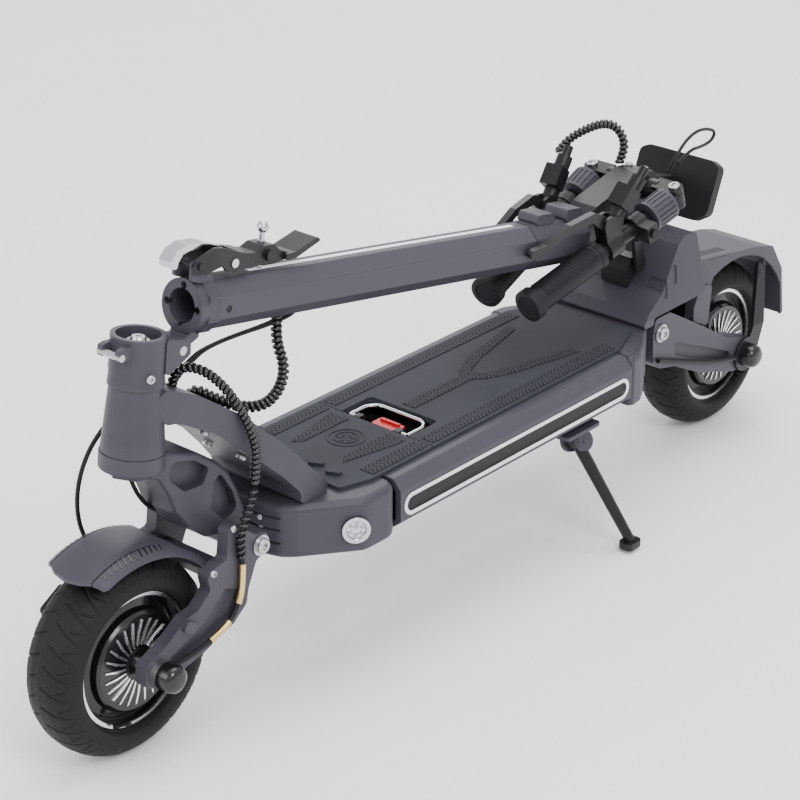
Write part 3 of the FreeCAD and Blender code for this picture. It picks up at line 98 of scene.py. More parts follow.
class Build:
    """Collects vertices and faces of one piece."""

    def __init__(self):
        self.verts, self.faces = [], []

    def add(self, verts, faces):
        base = len(self.verts)
        self.verts += [tuple(v) for v in verts]
        self.faces += [tuple(i + base for i in f) for f in faces]

    def lathe(self, profile, centre, axis, segments=48, start=None):
        """Profile of (distance along axis, radius) turned about an axis; closed where a radius is 0."""
        d, a, b = frame_of(axis)
        centre = Vector(centre)
        rings, verts = [], []
        for t, r in profile:
            if r < 1e-9:
                rings.append([len(verts)])
                verts.append(centre + d * t)
                continue
            rings.append(list(range(len(verts), len(verts) + segments)))
            for k in range(segments):
                w = 2 * math.pi * k / segments
                verts.append(centre + d * t + (a * math.cos(w) + b * math.sin(w)) * r)
        faces = []
        for low, high in zip(rings, rings[1:]):
            for k in range(segments):
                n = (k + 1) % segments
                if len(low) == 1:
                    faces.append((low[0], high[k], high[n]))
                elif len(high) == 1:
                    faces.append((low[k], high[0], low[n]))
                else:
                    faces.append((low[k], high[k], high[n], low[n]))
        self.add(verts, faces)

    def tube(self, path, radius, segments=10, caps=True):
        """Round tube along closely spaced points; radius may be a function of the share of the way along."""
        path = [Vector(p) for p in path]
        side = (path[1] - path[0]).orthogonal().normalized()
        verts, count = [], len(path)
        for i, p in enumerate(path):
            d = (path[min(i + 1, count - 1)] - path[max(i - 1, 0)]).normalized()
            side = (side - d * side.dot(d)).normalized()
            other = d.cross(side)
            r = radius(i / (count - 1)) if callable(radius) else radius
            for k in range(segments):
                w = 2 * math.pi * k / segments
                verts.append(p + (side * math.cos(w) + other * math.sin(w)) * r)
        faces = []
        for i in range(count - 1):
            for k in range(segments):
                n = (k + 1) % segments
                faces.append((i * segments + k, i * segments + n, (i + 1) * segments + n, (i + 1) * segments + k))
        if caps:
            faces.append(tuple(range(segments)))
            faces.append(tuple(range(len(verts) - segments, len(verts))))
        self.add(verts, faces)

    def prism(self, outline, low, high, bevel=0.0):
        """Closed outline of 3-D points swept from its own plane by the two offset vectors."""
        outline = [Vector(p) for p in outline]
        low, high = Vector(low), Vector(high)
        n = len(outline)
        centre = sum(outline, Vector()) / n
        rings = [[p + low for p in outline], [p + high for p in outline]]
        if bevel:
            lift = (high - low).normalized() * bevel
            rings = [rings[0], [p + high - lift for p in outline],
                     [p + (centre - p).normalized() * bevel + high for p in outline]]
        verts = [p for ring in rings for p in ring]
        faces = [tuple(range(n))[::-1], tuple(range(len(verts) - n, len(verts)))]
        for r in range(len(rings) - 1):
            for k in range(n):
                m = (k + 1) % n
                faces.append((r * n + k, r * n + m, (r + 1) * n + m, (r + 1) * n + k))
        self.add(verts, faces)

    def piece(self, name, material, body, smooth=True, slot=None):
        return mesh_piece(name, self.verts, self.faces, material, body, smooth)


def sharpen(piece, angle=35):
    """Keeps edges sharper than an angle crisp on a smooth-shaded piece."""
    piece.data.set_sharp_from_angle(angle=math.radians(angle))
    return piece


def surface(node):
    """Ray-casting tree of a CAD node's mesh."""
    mesh = NODES[node].data
    return BVHTree.FromPolygons([v.co for v in mesh.vertices], [tuple(p.vertices) for p in mesh.polygons])


def drop_on(tree, start, direction):
    """Where a ray meets a surface: (point, outward normal)."""
    point, normal, _, _ = tree.ray_cast(Vector(start), Vector(direction).normalized())
    if point is None:
        return Vector(start), -Vector(direction).normalized()
    if normal.dot(Vector(direction)) > 0:
        normal = -normal
    return point, normal


def split_node(node, body, kinds):
    """Replaces a CAD node of several solids by one piece per kind. kinds(lowest, highest) names (piece, material)."""
    mesh = NODES[node].data
    parent = list(range(len(mesh.vertices)))

    def root(i):
        while parent[i] != i:
            parent[i] = parent[parent[i]]
            i = parent[i]
        return i

    for p in mesh.polygons:
        first = root(p.vertices[0])
        for v in p.vertices[1:]:
            parent[root(v)] = first
    merged = {}
    for i, v in enumerate(mesh.vertices):
        key = tuple(round(c, 6) for c in v.co)
        if key in merged:
            parent[root(i)] = root(merged[key])
        merged[key] = i
    groups = {}
    for p in mesh.polygons:
        groups.setdefault(root(p.vertices[0]), []).append(tuple(p.vertices))
    builds = {}
    for faces in groups.values():
        used = sorted({i for f in faces for i in f})
        points = [mesh.vertices[i].co.copy() for i in used]
        low = Vector([min(p[k] for p in points) for k in range(3)])
        high = Vector([max(p[k] for p in points) for k in range(3)])
        name, material = kinds(low, high)
        place = {i: k for k, i in enumerate(used)}
        build = builds.setdefault(name, (Build(), material))[0]
        build.add(points, [tuple(place[i] for i in f) for f in faces])
    made = []
    for name, (build, material) in sorted(builds.items()):
        piece = build.piece(name, material, body)
        bm = bmesh.new()
        bm.from_mesh(piece.data)
        bmesh.ops.remove_doubles(bm, verts=bm.verts, dist=2e-6)
        bm.to_mesh(piece.data)
        bm.free()
        sharpen(piece, 28)
        made.append(piece)
    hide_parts(node)
    return made


# ---- materials -------------------------------------------------------------------------------------
def shader(name, color, rough, metal=0.0, coat=0.0, shine=0.22):
    material = bpy.data.materials.new(name)
    material.use_nodes = True
    tree = material.node_tree
    bsdf = tree.nodes["Principled BSDF"]
    bsdf.inputs["Base Color"].default_value = (*color, 1)
    bsdf.inputs["Roughness"].default_value = rough
    bsdf.inputs["Metallic"].default_value = metal
    bsdf.inputs["Coat Weight"].default_value = coat
    bsdf.inputs["Specular IOR Level"].default_value = shine
    return material, tree, bsdf


def coords(tree, scale=(1, 1, 1), turn=(0, 0, 0)):
    source = tree.nodes.new("ShaderNodeTexCoord")
    place = tree.nodes.new("ShaderNodeMapping")
    place.inputs["Scale"].default_value = scale
    place.inputs["Rotation"].default_value = turn
    tree.links.new(source.outputs["Object"], place.inputs["Vector"])
    return place.outputs["Vector"]


def noise(tree, vector, scale, detail=4.0, rough=0.6):
    node = tree.nodes.new("ShaderNodeTexNoise")
    node.inputs["Scale"].default_value = scale
    node.inputs["Detail"].default_value = detail
    node.inputs["Roughness"].default_value = rough
    tree.links.new(vector, node.inputs["Vector"])
    return node.outputs["Fac"]


def ramp(tree, value, low, high, a, b):
    node = tree.nodes.new("ShaderNodeValToRGB")
    node.color_ramp.elements[0].position = low
    node.color_ramp.elements[1].position = high
    node.color_ramp.elements[0].color = (*a, 1)
    node.color_ramp.elements[1].color = (*b, 1)
    tree.links.new(value, node.inputs["Fac"])
    return node.outputs["Color"]


def spread(tree, value, low, high):
    node = tree.nodes.new("ShaderNodeMapRange")
    node.inputs["To Min"].default_value = low
    node.inputs["To Max"].default_value = high
    tree.links.new(value, node.inputs["Value"])
    return node.outputs["Result"]


def bump(tree, bsdf, height, distance, strength=1.0, round_edges=0.0):
    node = tree.nodes.new("ShaderNodeBump")
    node.inputs["Distance"].default_value = distance
    node.inputs["Strength"].default_value = strength
    tree.links.new(height, node.inputs["Height"])
    if round_edges:
        edge = tree.nodes.new("ShaderNodeBevel")
        edge.samples = 4
        edge.inputs["Radius"].default_value = round_edges
        tree.links.new(edge.outputs["Normal"], node.inputs["Normal"])
    tree.links.new(node.outputs["Normal"], bsdf.inputs["Normal"])


def edge_wear(tree, low, high):
    """Bright along convex edges, 0 elsewhere."""
    geometry = tree.nodes.new("ShaderNodeNewGeometry")
    node = tree.nodes.new("ShaderNodeMapRange")
    node.inputs["From Min"].default_value = low
    node.inputs["From Max"].default_value = high
    tree.links.new(geometry.outputs["Pointiness"], node.inputs["Value"])
    return node.outputs["Result"]


def mixed(tree, factor, a, b):
    node = tree.nodes.new("ShaderNodeMix")
    node.data_type = "RGBA"
    for socket, value in ((6, a), (7, b)):
        if isinstance(value, tuple):
            node.inputs[socket].default_value = (*value, 1)
        else:
            tree.links.new(value, node.inputs[socket])
    tree.links.new(factor, node.inputs[0])
    return node.outputs[2]


def powder_coat(name, color, rough, metal=0.0, grain=2600, depth=0.00003, edge=0.0009, light=1.25, shine=0.25):
    """Painted metal: orange-peel grain, faint cloudy colour, lighter where edges rub."""
    material, tree, bsdf = shader(name, color, rough, metal, shine=shine)
    place = coords(tree)
    cloud = noise(tree, place, 9, 5)
    shade = ramp(tree, cloud, 0.3, 0.75, tuple(c * 0.88 for c in color), tuple(c * 1.12 for c in color))
    rub = edge_wear(tree, 0.52, 0.62)
    faint = spread(tree, rub, 0.0, 0.35)
    tint = mixed(tree, faint, shade, tuple(min(1.0, c * light + 0.012) for c in color))
    tree.links.new(tint, bsdf.inputs["Base Color"])
    grains = noise(tree, place, grain, 2)
    tree.links.new(spread(tree, cloud, rough - 0.05, rough + 0.07), bsdf.inputs["Roughness"])
    bump(tree, bsdf, grains, depth, 0.35, edge)
    return material


def bare_metal(name, color, rough, brush=(1, 1, 60)):
    """Machined or plated metal with fine tool marks."""
    material, tree, bsdf = shader(name, color, rough, 1.0)
    marks = noise(tree, coords(tree, brush), 40, 6)
    tree.links.new(spread(tree, marks, max(0.03, rough - 0.07), rough + 0.1), bsdf.inputs["Roughness"])
    shade = ramp(tree, marks, 0.3, 0.7, tuple(c * 0.86 for c in color), color)
    tree.links.new(shade, bsdf.inputs["Base Color"])
    bump(tree, bsdf, marks, 0.00002, 0.25, 0.0004)
    return material


def moulded(name, color, rough, grain=1800, depth=0.00006, strength=0.5, shine=0.2):
    """Rubber or plastic with a fine moulded grain and slightly dusty high spots."""
    material, tree, bsdf = shader(name, color, rough, shine=shine)
    place = coords(tree)
    grains = noise(tree, place, grain, 3)
    dust = noise(tree, place, 22, 6)
    shade = ramp(tree, dust, 0.35, 0.8, color, tuple(c * 1.5 + 0.0015 for c in color))
    tree.links.new(shade, bsdf.inputs["Base Color"])
    tree.links.new(spread(tree, dust, rough - 0.06, rough + 0.1), bsdf.inputs["Roughness"])
    bump(tree, bsdf, grains, depth, strength, 0.0005)
    return material


PAINT = powder_coat("frame_paint", (0.040, 0.037, 0.049), 0.42)
BLACK = powder_coat("black_metal", (0.007, 0.007, 0.008), 0.34, light=1.6)
GLOSS = powder_coat("gloss_black", (0.005, 0.005, 0.006), 0.14, depth=0.00001, light=1.6, shine=0.45)
TYRE = moulded("tyre_rubber", (0.0055, 0.0055, 0.006), 0.58, 1400, 0.00008)
RUBBER = moulded("grip_rubber", (0.009, 0.009, 0.011), 0.52)
PLASTIC = moulded("black_plastic", (0.007, 0.007, 0.008), 0.4, 2400, 0.00003)
WRAP = moulded("wrap_plastic", (0.004, 0.004, 0.005), 0.17, 600, 0.00001, 0.2, 0.6)
SILVER = bare_metal("machined_edge", (0.86, 0.86, 0.88), 0.22)
STEEL = bare_metal("zinc_steel", (0.50, 0.50, 0.52), 0.28)
CHROME = bare_metal("chrome", (0.58, 0.59, 0.62), 0.1)
BRASS = bare_metal("brass_sleeve", (0.74, 0.55, 0.24), 0.28)
RED = moulded("red_latch", (0.42, 0.008, 0.012), 0.3, 900, 0.00002)


def lens(name, color, glow):
    material, tree, bsdf = shader(name, color, 0.18, 0.0, 0.6)
    cells = tree.nodes.new("ShaderNodeTexVoronoi")
    cells.inputs["Scale"].default_value = 420
    tree.links.new(coords(tree), cells.inputs["Vector"])
    bsdf.inputs["Emission Color"].default_value = (*color, 1)
    bsdf.inputs["Emission Strength"].default_value = glow
    bump(tree, bsdf, cells.outputs["Distance"], 0.0002, 0.4)
    return material


LED = lens("led_strip", (0.82, 0.84, 0.92), 0.55)
GLASS = lens("lamp_glass", (0.30, 0.31, 0.35), 0.05)


def mat_rubber(name, color, zigzag):
    """Foot mat rubber; zigzag gives the wavy anti-slip ribs of the strips, with painted shade darkening the grooves
    between them.
    """
    material, tree, bsdf = shader(name, color, 0.72)
    place = coords(tree)
    grains = noise(tree, place, 1500, 3)
    dust = noise(tree, place, 14, 6)
    shade = ramp(tree, dust, 0.3, 0.8, color, tuple(c * 1.35 for c in color))
    tree.links.new(shade, bsdf.inputs["Base Color"])
    height = grains
    if zigzag:
        split = tree.nodes.new("ShaderNodeSeparateXYZ")
        tree.links.new(place, split.inputs[0])
        fold = tree.nodes.new("ShaderNodeMath")
        fold.operation = "PINGPONG"
        fold.inputs[1].default_value = 0.006
        tree.links.new(split.outputs["Y"], fold.inputs[0])
        line = tree.nodes.new("ShaderNodeMath")
        line.operation = "ADD"
        tree.links.new(split.outputs["X"], line.inputs[0])
        tree.links.new(fold.outputs[0], line.inputs[1])
        rib = tree.nodes.new("ShaderNodeMath")
        rib.operation = "PINGPONG"
        rib.inputs[1].default_value = 0.0032
        tree.links.new(line.outputs[0], rib.inputs[0])
        height = spread(tree, rib.outputs[0], 0.0, 1.0)
        height.node.inputs["From Min"].default_value = 0.0008
        height.node.inputs["From Max"].default_value = 0.0022
        # painted shade: the grooves between the bump-only ribs get a colour at 0.35 of the rubber's
        painted_groove_shade = mixed(tree, height, tuple(c * 0.35 for c in color), shade)
        tree.links.new(painted_groove_shade, bsdf.inputs["Base Color"])
    bump(tree, bsdf, height, 0.0012 if zigzag else 0.00006, 0.9 if zigzag else 0.5, 0.0005)
    return material


MAT = mat_rubber("mat_rubber", (0.026, 0.027, 0.034), False)
MAT_RIBS = mat_rubber("mat_ribs", (0.030, 0.031, 0.040), True)


def repaint():
    """Gives each CAD node that stays its material."""
    groups = {
        PAINT: "deck_shell deck_ends neck kick_plate fork_crown stem_base stem_tube stem_foot stem_head front_fender"
               " rear_fender front_arm rear_arm left_collar right_collar stand_bracket",
        BLACK: "bar_riser catch_block catch_hook stand_leg latch_lever left_bar right_bar left_lever"
               " right_lever rear_stays",
        GLOSS: "front_hub rear_hub",
        RUBBER: "left_grip right_grip",
        STEEL: "steerer_and_pivot deck_bolts base_pins bar_pins front_axle rear_axle",
        PLASTIC: "battery_pack controllers display throttle horn_button front_caliper rear_caliper",
        CHROME: "latch_hook safety_pin handle_bail",
        MAT: "deck_mat",
        LED: "stem_led",
        RED: "battery_latch",
    }
    for material, names in groups.items():
        for name in names.split():
            if name not in NODES:
                continue
            node = NODES[name]
            node.data.materials.clear()
            node.data.materials.append(material)


# ---- camera, floor and light -------------------------------------------------------------------------
def studio():
    turn, rise = math.radians(130.891), math.radians(25.465)
    back = Vector((math.sin(turn) * math.cos(rise), -math.cos(turn) * math.cos(rise), math.sin(rise)))
    data = bpy.data.cameras.new("camera")
    data.lens, data.sensor_width = 115.2, 36
    data.clip_end = 50
    camera = bpy.data.objects.new("camera", data)
    camera.location = (2.128, 1.772, 1.537 + GROUND_Z)
    camera.rotation_euler = back.to_track_quat("Z", "Y").to_euler()
    bpy.context.collection.objects.link(camera)
    bpy.context.scene.camera = camera

    floor = bpy.data.meshes.new("floor")
    size = 14
    floor.from_pydata([(-size, -size, 0), (size, -size, 0), (size, size, 0), (-size, size, 0)], [], [(0, 1, 2, 3)])
    material, tree, bsdf = shader("floor_pale", (0.93, 0.93, 0.935), 0.8)
    cloud = noise(tree, coords(tree), 3, 4)
    tree.links.new(ramp(tree, cloud, 0.2, 0.8, (0.915, 0.915, 0.92), (0.945, 0.945, 0.95)), bsdf.inputs["Base Color"])
    floor.materials.append(material)
    ground = bpy.data.objects.new("floor", floor)
    ground.location.z = GROUND_Z - 0.0004
    bpy.context.collection.objects.link(ground)

    world = bpy.data.worlds.new("studio")
    world.use_nodes = True
    world.node_tree.nodes["Background"].inputs["Color"].default_value = (0.97, 0.975, 1, 1)
    world.node_tree.nodes["Background"].inputs["Strength"].default_value = 1.35
    bpy.context.scene.world = world
    lamps = (("key", (1.2, 2.6, 2.6), 75, 1.4), ("front", (3.2, -0.6, 1.6), 40, 1.8), ("top", (-0.6, 0.2, 3.2), 70, 2.4),
             ("rim", (-2.6, -2.0, 2.2), 35, 1.6))
    for name, place, power, width in lamps:
        lamp = bpy.data.lights.new(name, "AREA")
        lamp.energy, lamp.size = power, width
        light = bpy.data.objects.new(name, lamp)
        light.location = place
        light.rotation_euler = Vector(place).to_track_quat("Z", "Y").to_euler()
        bpy.context.collection.objects.link(light)


# ---- cables ------------------------------------------------------------------------------------------
def route(name, points, radius, material, body):
    """Cable on one smooth NURBS line through its route."""
    data = bpy.data.curves.new(name, "CURVE")
    data.dimensions = "3D"
    data.resolution_u = 12
    data.bevel_depth = radius
    data.bevel_resolution = 4
    data.use_fill_caps = True
    line = data.splines.new("NURBS")
    line.points.add(len(points) - 1)
    for spot, p in zip(line.points, points):
        spot.co = (*p, 1)
    line.order_u = 3
    line.use_endpoint_u = True
    data.materials.append(material)
    piece = bpy.data.objects.new(name, data)
    bpy.context.collection.objects.link(piece)
    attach(piece, body)
    return piece


def centre_line(piece):
    """Points and length of a cable's own line."""
    data = piece.data.copy()
    data.bevel_depth = 0
    bare = bpy.data.objects.new("line", data)
    bpy.context.collection.objects.link(bare)
    bpy.context.view_layer.update()
    graph = bpy.context.evaluated_depsgraph_get()
    mesh = bpy.data.meshes.new_from_object(bare.evaluated_get(graph))
    points = [v.co.copy() for v in mesh.vertices]
    bpy.data.objects.remove(bare)
    bpy.data.meshes.remove(mesh)
    length = sum((b - a).length for a, b in zip(points, points[1:]))
    return points, length


def evenly(points, count):
    """The line's points again, at even distances."""
    steps = [0.0]
    for a, b in zip(points, points[1:]):
        steps.append(steps[-1] + (b - a).length)
    out, k = [], 0
    for i in range(count):
        want = steps[-1] * i / (count - 1)
        while k < len(steps) - 2 and steps[k + 1] < want:
            k += 1
        share = (want - steps[k]) / max(steps[k + 1] - steps[k], 1e-9)
        out.append(points[k].lerp(points[k + 1], min(1.0, max(0.0, share))))
    return out


def spiral(name, cable, radius, wire, pitch, body, start=0.0, end=1.0):
    """Spiral wrap wound round a cable."""
    points, length = centre_line(cable)
    turns = length * (end - start) / pitch
    count = int(turns * 14) + 2
    path = evenly(points, 240)
    side = (path[1] - path[0]).orthogonal().normalized()
    sides = []
    for i, p in enumerate(path):
        d = (path[min(i + 1, 239)] - path[max(i - 1, 0)]).normalized()
        side = (side - d * side.dot(d)).normalized()
        sides.append((side.copy(), d.cross(side)))
    coil = []
    for i in range(count):
        share = i / (count - 1)
        at = (start + (end - start) * share) * 239
        k = min(int(at), 238)
        f = at - k
        p = path[k].lerp(path[k + 1], f)
        a, b = sides[k][0].lerp(sides[k + 1][0], f), sides[k][1].lerp(sides[k + 1][1], f)
        w = 2 * math.pi * turns * share
        coil.append(p + (a * math.cos(w) + b * math.sin(w)) * radius)
    build = Build()
    build.tube(coil, wire, 7)
    return build.piece(name, WRAP, body, slot="rubber")


def declare(cable):
    points, length = centre_line(cable)


def cables():
    wrapped = (
        ("stem_cable", "stem_harness", "deck", 6.9, 6.4,
         [on_stem(147, 3, -27.4), on_stem(147, 3, -55)] + mm(
             (291, 16, 368), (313, 26, 349), (342, 28, 342), (366, 14, 347), (380, -12, 356), (386, -34, 362),
             (388, -40, 344))),
        ("neck_cable", "neck_harness", "deck", 5.9, 5.9,
         mm((448, 0, 382), (449.5, 1, 402), (443, 8, 419), (425, 22, 415), (409, 38, 395), (398, 54, 365),
            (391, 64, 334), (391.5, 67, 309), (397.4, 68.2, 285))),
        ("bar_cable", "bar_harness", "stem", 6.4, 6.2,
         mm((-352, -106, 412), (-366, -104, 424), (-381, -88, 438), (-389, -66, 450), (-390, -45, 451),
            (-389, -31, 438), (-385, -27, 422), (-376, -27.5, 409))),
    )
    for name, node, body, outer, pitch, points in wrapped:
        wire = 2.9 * MM
        cable = route(name, points, (outer - 3.4) * MM, PLASTIC, body)
        if node in NODES:
            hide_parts(node)
        coil = spiral(name + "_wrap", cable, outer * MM - wire, wire, pitch * MM, body)
        declare(cable)
    lead = route("front_motor_cable", mm(
        (398.5, 68.2, 279), (405, 68.7, 262), (417, 68.2, 242), (421, 67.2, 220), (416, 66.2, 196), (421, 66.2, 150),
        (446, 66.2, 126), (496, 66.2, 116), (526, 66.2, 115)), 3.0 * MM, PLASTIC, "front_arm")
    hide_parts("front_motor_lead")
    spiral("front_motor_wrap", lead, 4.0 * MM, 1.7 * MM, 7.5 * MM, "front_arm", 0.0, 0.34)
    line, _ = centre_line(lead)
    line = evenly(line, 101)
    sleeve = Build()
    for first, last in ((36, 56), (64, 78)):
        sleeve.tube(line[first:last], 3.9 * MM, 20)
    sharpen(sleeve.piece("front_motor_sleeve", BRASS, "front_arm", slot="brass"), 40)
    rear = route("rear_motor_cable", mm((-336, 74.2, 176), (-400, 74.2, 152), (-470, 74.2, 127), (-514, 74.2, 119)),
                 3.2 * MM, PLASTIC, "rear_arm")
    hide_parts("rear_motor_lead")
    hoses = (
        ("brake_hose_a", "deck", 2.2, [on_stem(172, 6, -26.6), on_stem(166, 6, -34)] + mm(
            (392, 4, 427), (425, 3, 414), (446, 2, 400), (452, 2, 388))),
        ("brake_hose_b", "deck", 2.2, [on_stem(180, -4, -26.6), on_stem(174, -4, -36)] + mm(
            (390, -6, 421), (422, -7, 409), (444, -8, 397), (450, -8, 386))),
        ("front_brake_hose", "steer", 2.6, mm(
            (500, -33, 372), (520, -42, 350), (534, -50, 318), (539, -56, 284), (537, -58, 250), (528, -56, 222),
            (520, -52, 196))),
        ("lamp_lead", "steer", 2.4, mm(
            (506, -12, 318), (500, -13, 300), (488, -15, 276), (470, -18, 254), (448, -22, 240), (426, -30, 232))),
    )
    loop = ("display_lead", "stem", 2.2, mm(
        (-392, 38, 408), (-388, 50, 430), (-410, 47, 444), (-440, 43, 450), (-468, 40, 446), (-492, 39, 436), (-484, 39, 425),
        (-456, 42, 425), (-424, 47, 431), (-404, 44, 418)))
    for name, body, radius, points in (*hoses, loop):
        declare(route(name, points, radius * MM, PLASTIC, body))


# ---- wheels ------------------------------------------------------------------------------------------
def tyre(side):
    """Road tyre: rounded section with swept grooves cut in the tread."""
    cx, _, cz = JOINTS[side + "_wheel_spin"]["pos_m"]
    around, across = 1080, 64
    s = np.linspace(-1, 1, across + 1)
    share = (0, 0.16, 0.32, 0.46, 0.58, 0.70, 0.82, 0.92, 1)
    y_of = np.sign(s) * np.interp(abs(s), share, (0, 12.4, 22.6, 30.2, 34.4, 36.2, 34.8, 30.5, 25.6)) * MM
    r_of = np.interp(abs(s), share, (115, 113.8, 109.8, 102.9, 95.6, 88.0, 82.2, 79.2, 78.4)) * MM
    theta = np.linspace(0, 2 * np.pi, around, endpoint=False)
    tt, ss = np.meshgrid(theta, s, indexing="ij")
    mag = np.abs(ss)
    flip = np.where(ss > 0, 0.5, 0.0)
    count = 30
    sweep = count * tt / (2 * np.pi) + flip + 1.6 * mag ** 1.5 + 0.2 * np.sin(mag * 5)
    groove = np.abs(sweep - np.round(sweep)) * (2 * np.pi * 0.115 / count)
    cut = np.clip((0.0013 - groove) / 0.0006, 0, 1) * (mag > 0.06) * (mag < 0.60)
    sweep2 = count * tt / (2 * np.pi) + flip + 0.5 - 0.9 * mag
    groove2 = np.abs(sweep2 - np.round(sweep2)) * (2 * np.pi * 0.115 / count)
    cut2 = np.clip((0.0011 - groove2) / 0.0006, 0, 1) * (mag > 0.30) * (mag < 0.52)
    depth = 2.2 * MM * np.maximum(cut, cut2)
    rr = np.broadcast_to(r_of, tt.shape) - depth * np.clip(1.25 - np.abs(ss), 0.3, 1)
    yy = np.broadcast_to(y_of, tt.shape)
    verts = np.stack([cx + rr * np.cos(tt), yy, cz + rr * np.sin(tt)], -1).reshape(-1, 3)
    row = across + 1
    faces = []
    for i in range(around):
        n = (i + 1) % around
        for j in range(across):
            faces.append((i * row + j, i * row + j + 1, n * row + j + 1, n * row + j))
    piece = mesh_piece(side + "_tyre_tread", verts.tolist(), faces, TYRE, side + "_wheel")
    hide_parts(side + "_tyre")
    return piece


def wheel_trim(side):
    """Machined fins, rim edges and brake disc, each with its own finish."""
    wheel = side + "_wheel"
    centre = Vector(JOINTS[side + "_wheel_spin"]["pos_m"])

    def kinds(low, high):
        reach = high.z - low.z
        if reach > 0.128 and reach < 0.136 and low.y < -0.035:
            return side + "_brake_disc", STEEL
        if reach > 0.14:
            return side + "_rim_edge", SILVER
        return side + "_rim_fins", SILVER

    split_node(side + "_trim", wheel, kinds)
    valve = Build()
    angle = math.radians(-60 if side == "front" else -130)
    out = Vector((math.cos(angle), 0, math.sin(angle)))
    base = centre + out * 74 * MM + Vector((0, 29 * MM, 0))
    valve.lathe([(0, 0), (0, 3.4 * MM), (6 * MM, 3.0 * MM), (7 * MM, 2.2 * MM), (16 * MM, 2.2 * MM), (16.5 * MM, 2.8 * MM),
                 (22 * MM, 2.6 * MM), (23 * MM, 0)], base, Vector((-out.x * 0.5, 0.86, -out.z * 0.5)), 14)
    sharpen(valve.piece(side + "_valve", RUBBER, wheel))


def axle_cap(side, body):
    cx, _, cz = JOINTS[side + "_wheel_spin"]["pos_m"]
    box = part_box(side + "_axle")
    for s in (1, -1):
        cap = Build()
        y = box[1][1] if s > 0 else box[0][1]
        cap.lathe([(-19 * MM, 15.4 * MM), (-18 * MM, 16.4 * MM), (-6 * MM, 16.0 * MM), (-1 * MM, 14.4 * MM),
                   (2.0 * MM, 10.5 * MM), (2.8 * MM, 6 * MM), (3.0 * MM, 0)], (cx, y - s * 1 * MM, cz), (0, s, 0), 40)
        sharpen(cap.piece(f"{side}_axle_cap_{'left' if s > 0 else 'right'}", GLOSS, body))


# ---- small fasteners -----------------------------------------------------------------------------------
def bolt_head(build, at, normal, radius, height=None):
    """Button head with a hexagon socket."""
    height = height or radius * 0.62
    d, a, b = frame_of(normal)
    at = Vector(at)
    build.lathe([(-0.0006, radius), (height * 0.35, radius), (height * 0.8, radius * 0.82), (height, radius * 0.6),
                 (height, radius * 0.46)], at, d, 28)
    rim = [at + d * height + (a * math.cos(w) + b * math.sin(w)) * radius * 0.46
           for w in (math.pi / 3 * k for k in range(6))]
    low = [p - d * height * 0.75 for p in rim]
    build.add(rim + low, [(k, (k + 1) % 6, 6 + (k + 1) % 6, 6 + k) for k in range(6)] + [tuple(range(6, 12))])


def fasteners():
    for side, node, body, spots in (
            ("front", "front_arm", "front_arm", ((424, 238), (457, 197))),
            ("rear", "rear_stays", "rear_arm", ())):
        if not spots:
            continue
        tree, build = surface(node), Build()
        for x, z in spots:
            for s in (1, -1):
                point, normal = drop_on(tree, mm((x, s * 140, z))[0], (0, -s, 0))
                bolt_head(build, point, normal, 4.6 * MM)
        sharpen(build.piece(side + "_bracket_bolts", STEEL, body, slot="steel"))
    stem, build = surface("stem_foot"), Build()
    for u, v in ((44, -2),):
        for s in (1, -1):
            point, normal = drop_on(stem, on_stem(u, s * 90, v), (0, -s, 0))
            bolt_head(build, point, normal, 5.0 * MM, 4.5 * MM)
    sharpen(build.piece("stem_side_bolts", BLACK, "stem", slot="black_metal"))


def row_of_slots(name, node, body, start, end, count, length, width, direction, lean=0.0):
    """Dark vent slots laid on a CAD surface between two points."""
    tree, build = surface(node), Build()
    start, end = Vector(start), Vector(end)
    along = (end - start).normalized()
    for k in range(count):
        spot, normal = drop_on(tree, start.lerp(end, k / (count - 1)), direction)
        normal = normal.normalized()
        run = (along - normal * along.dot(normal)).normalized()
        across = normal.cross(run)
        across = (across + run * lean).normalized()
        size = length * (0.55 + 0.45 * math.sin(math.pi * (k + 1) / (count + 1)))
        a, b = across * size / 2, run * width / 2
        outline = [spot + a * math.cos(w) + b * math.sin(w) + a * 0.35 * math.copysign(1, math.cos(w))
                   for w in (2 * math.pi * (i + 0.5) / 12 for i in range(12))]
        build.prism(outline, normal * -0.0012, normal * 0.0003)
    return build.piece(name, GLOSS, body, smooth=False, slot="black_gloss")


def vents():
    for s, tag in ((1, "left"), (-1, "right")):
        a, b = mm((588, s * 36, 300), (508, s * 36, 300))
        row_of_slots("front_vents_" + tag, "front_fender", "front_arm", a, b, 12, 9 * MM, 2.6 * MM, (0, 0, -1), 0.2)
        a, b = mm((-470, s * 44, 330), (-540, s * 44, 330))
        row_of_slots("rear_vents_" + tag, "rear_fender", "rear_arm", a, b, 12, 8 * MM, 2.4 * MM, (0, 0, -1), 0.2)


# ---- deck --------------------------------------------------------------------------------------------
def strip(build, outline, height):
    build.prism([(x * MM, y * MM, 0) for x, y in outline], (0, 0, -0.0005), (0, 0, height), 0.0006)


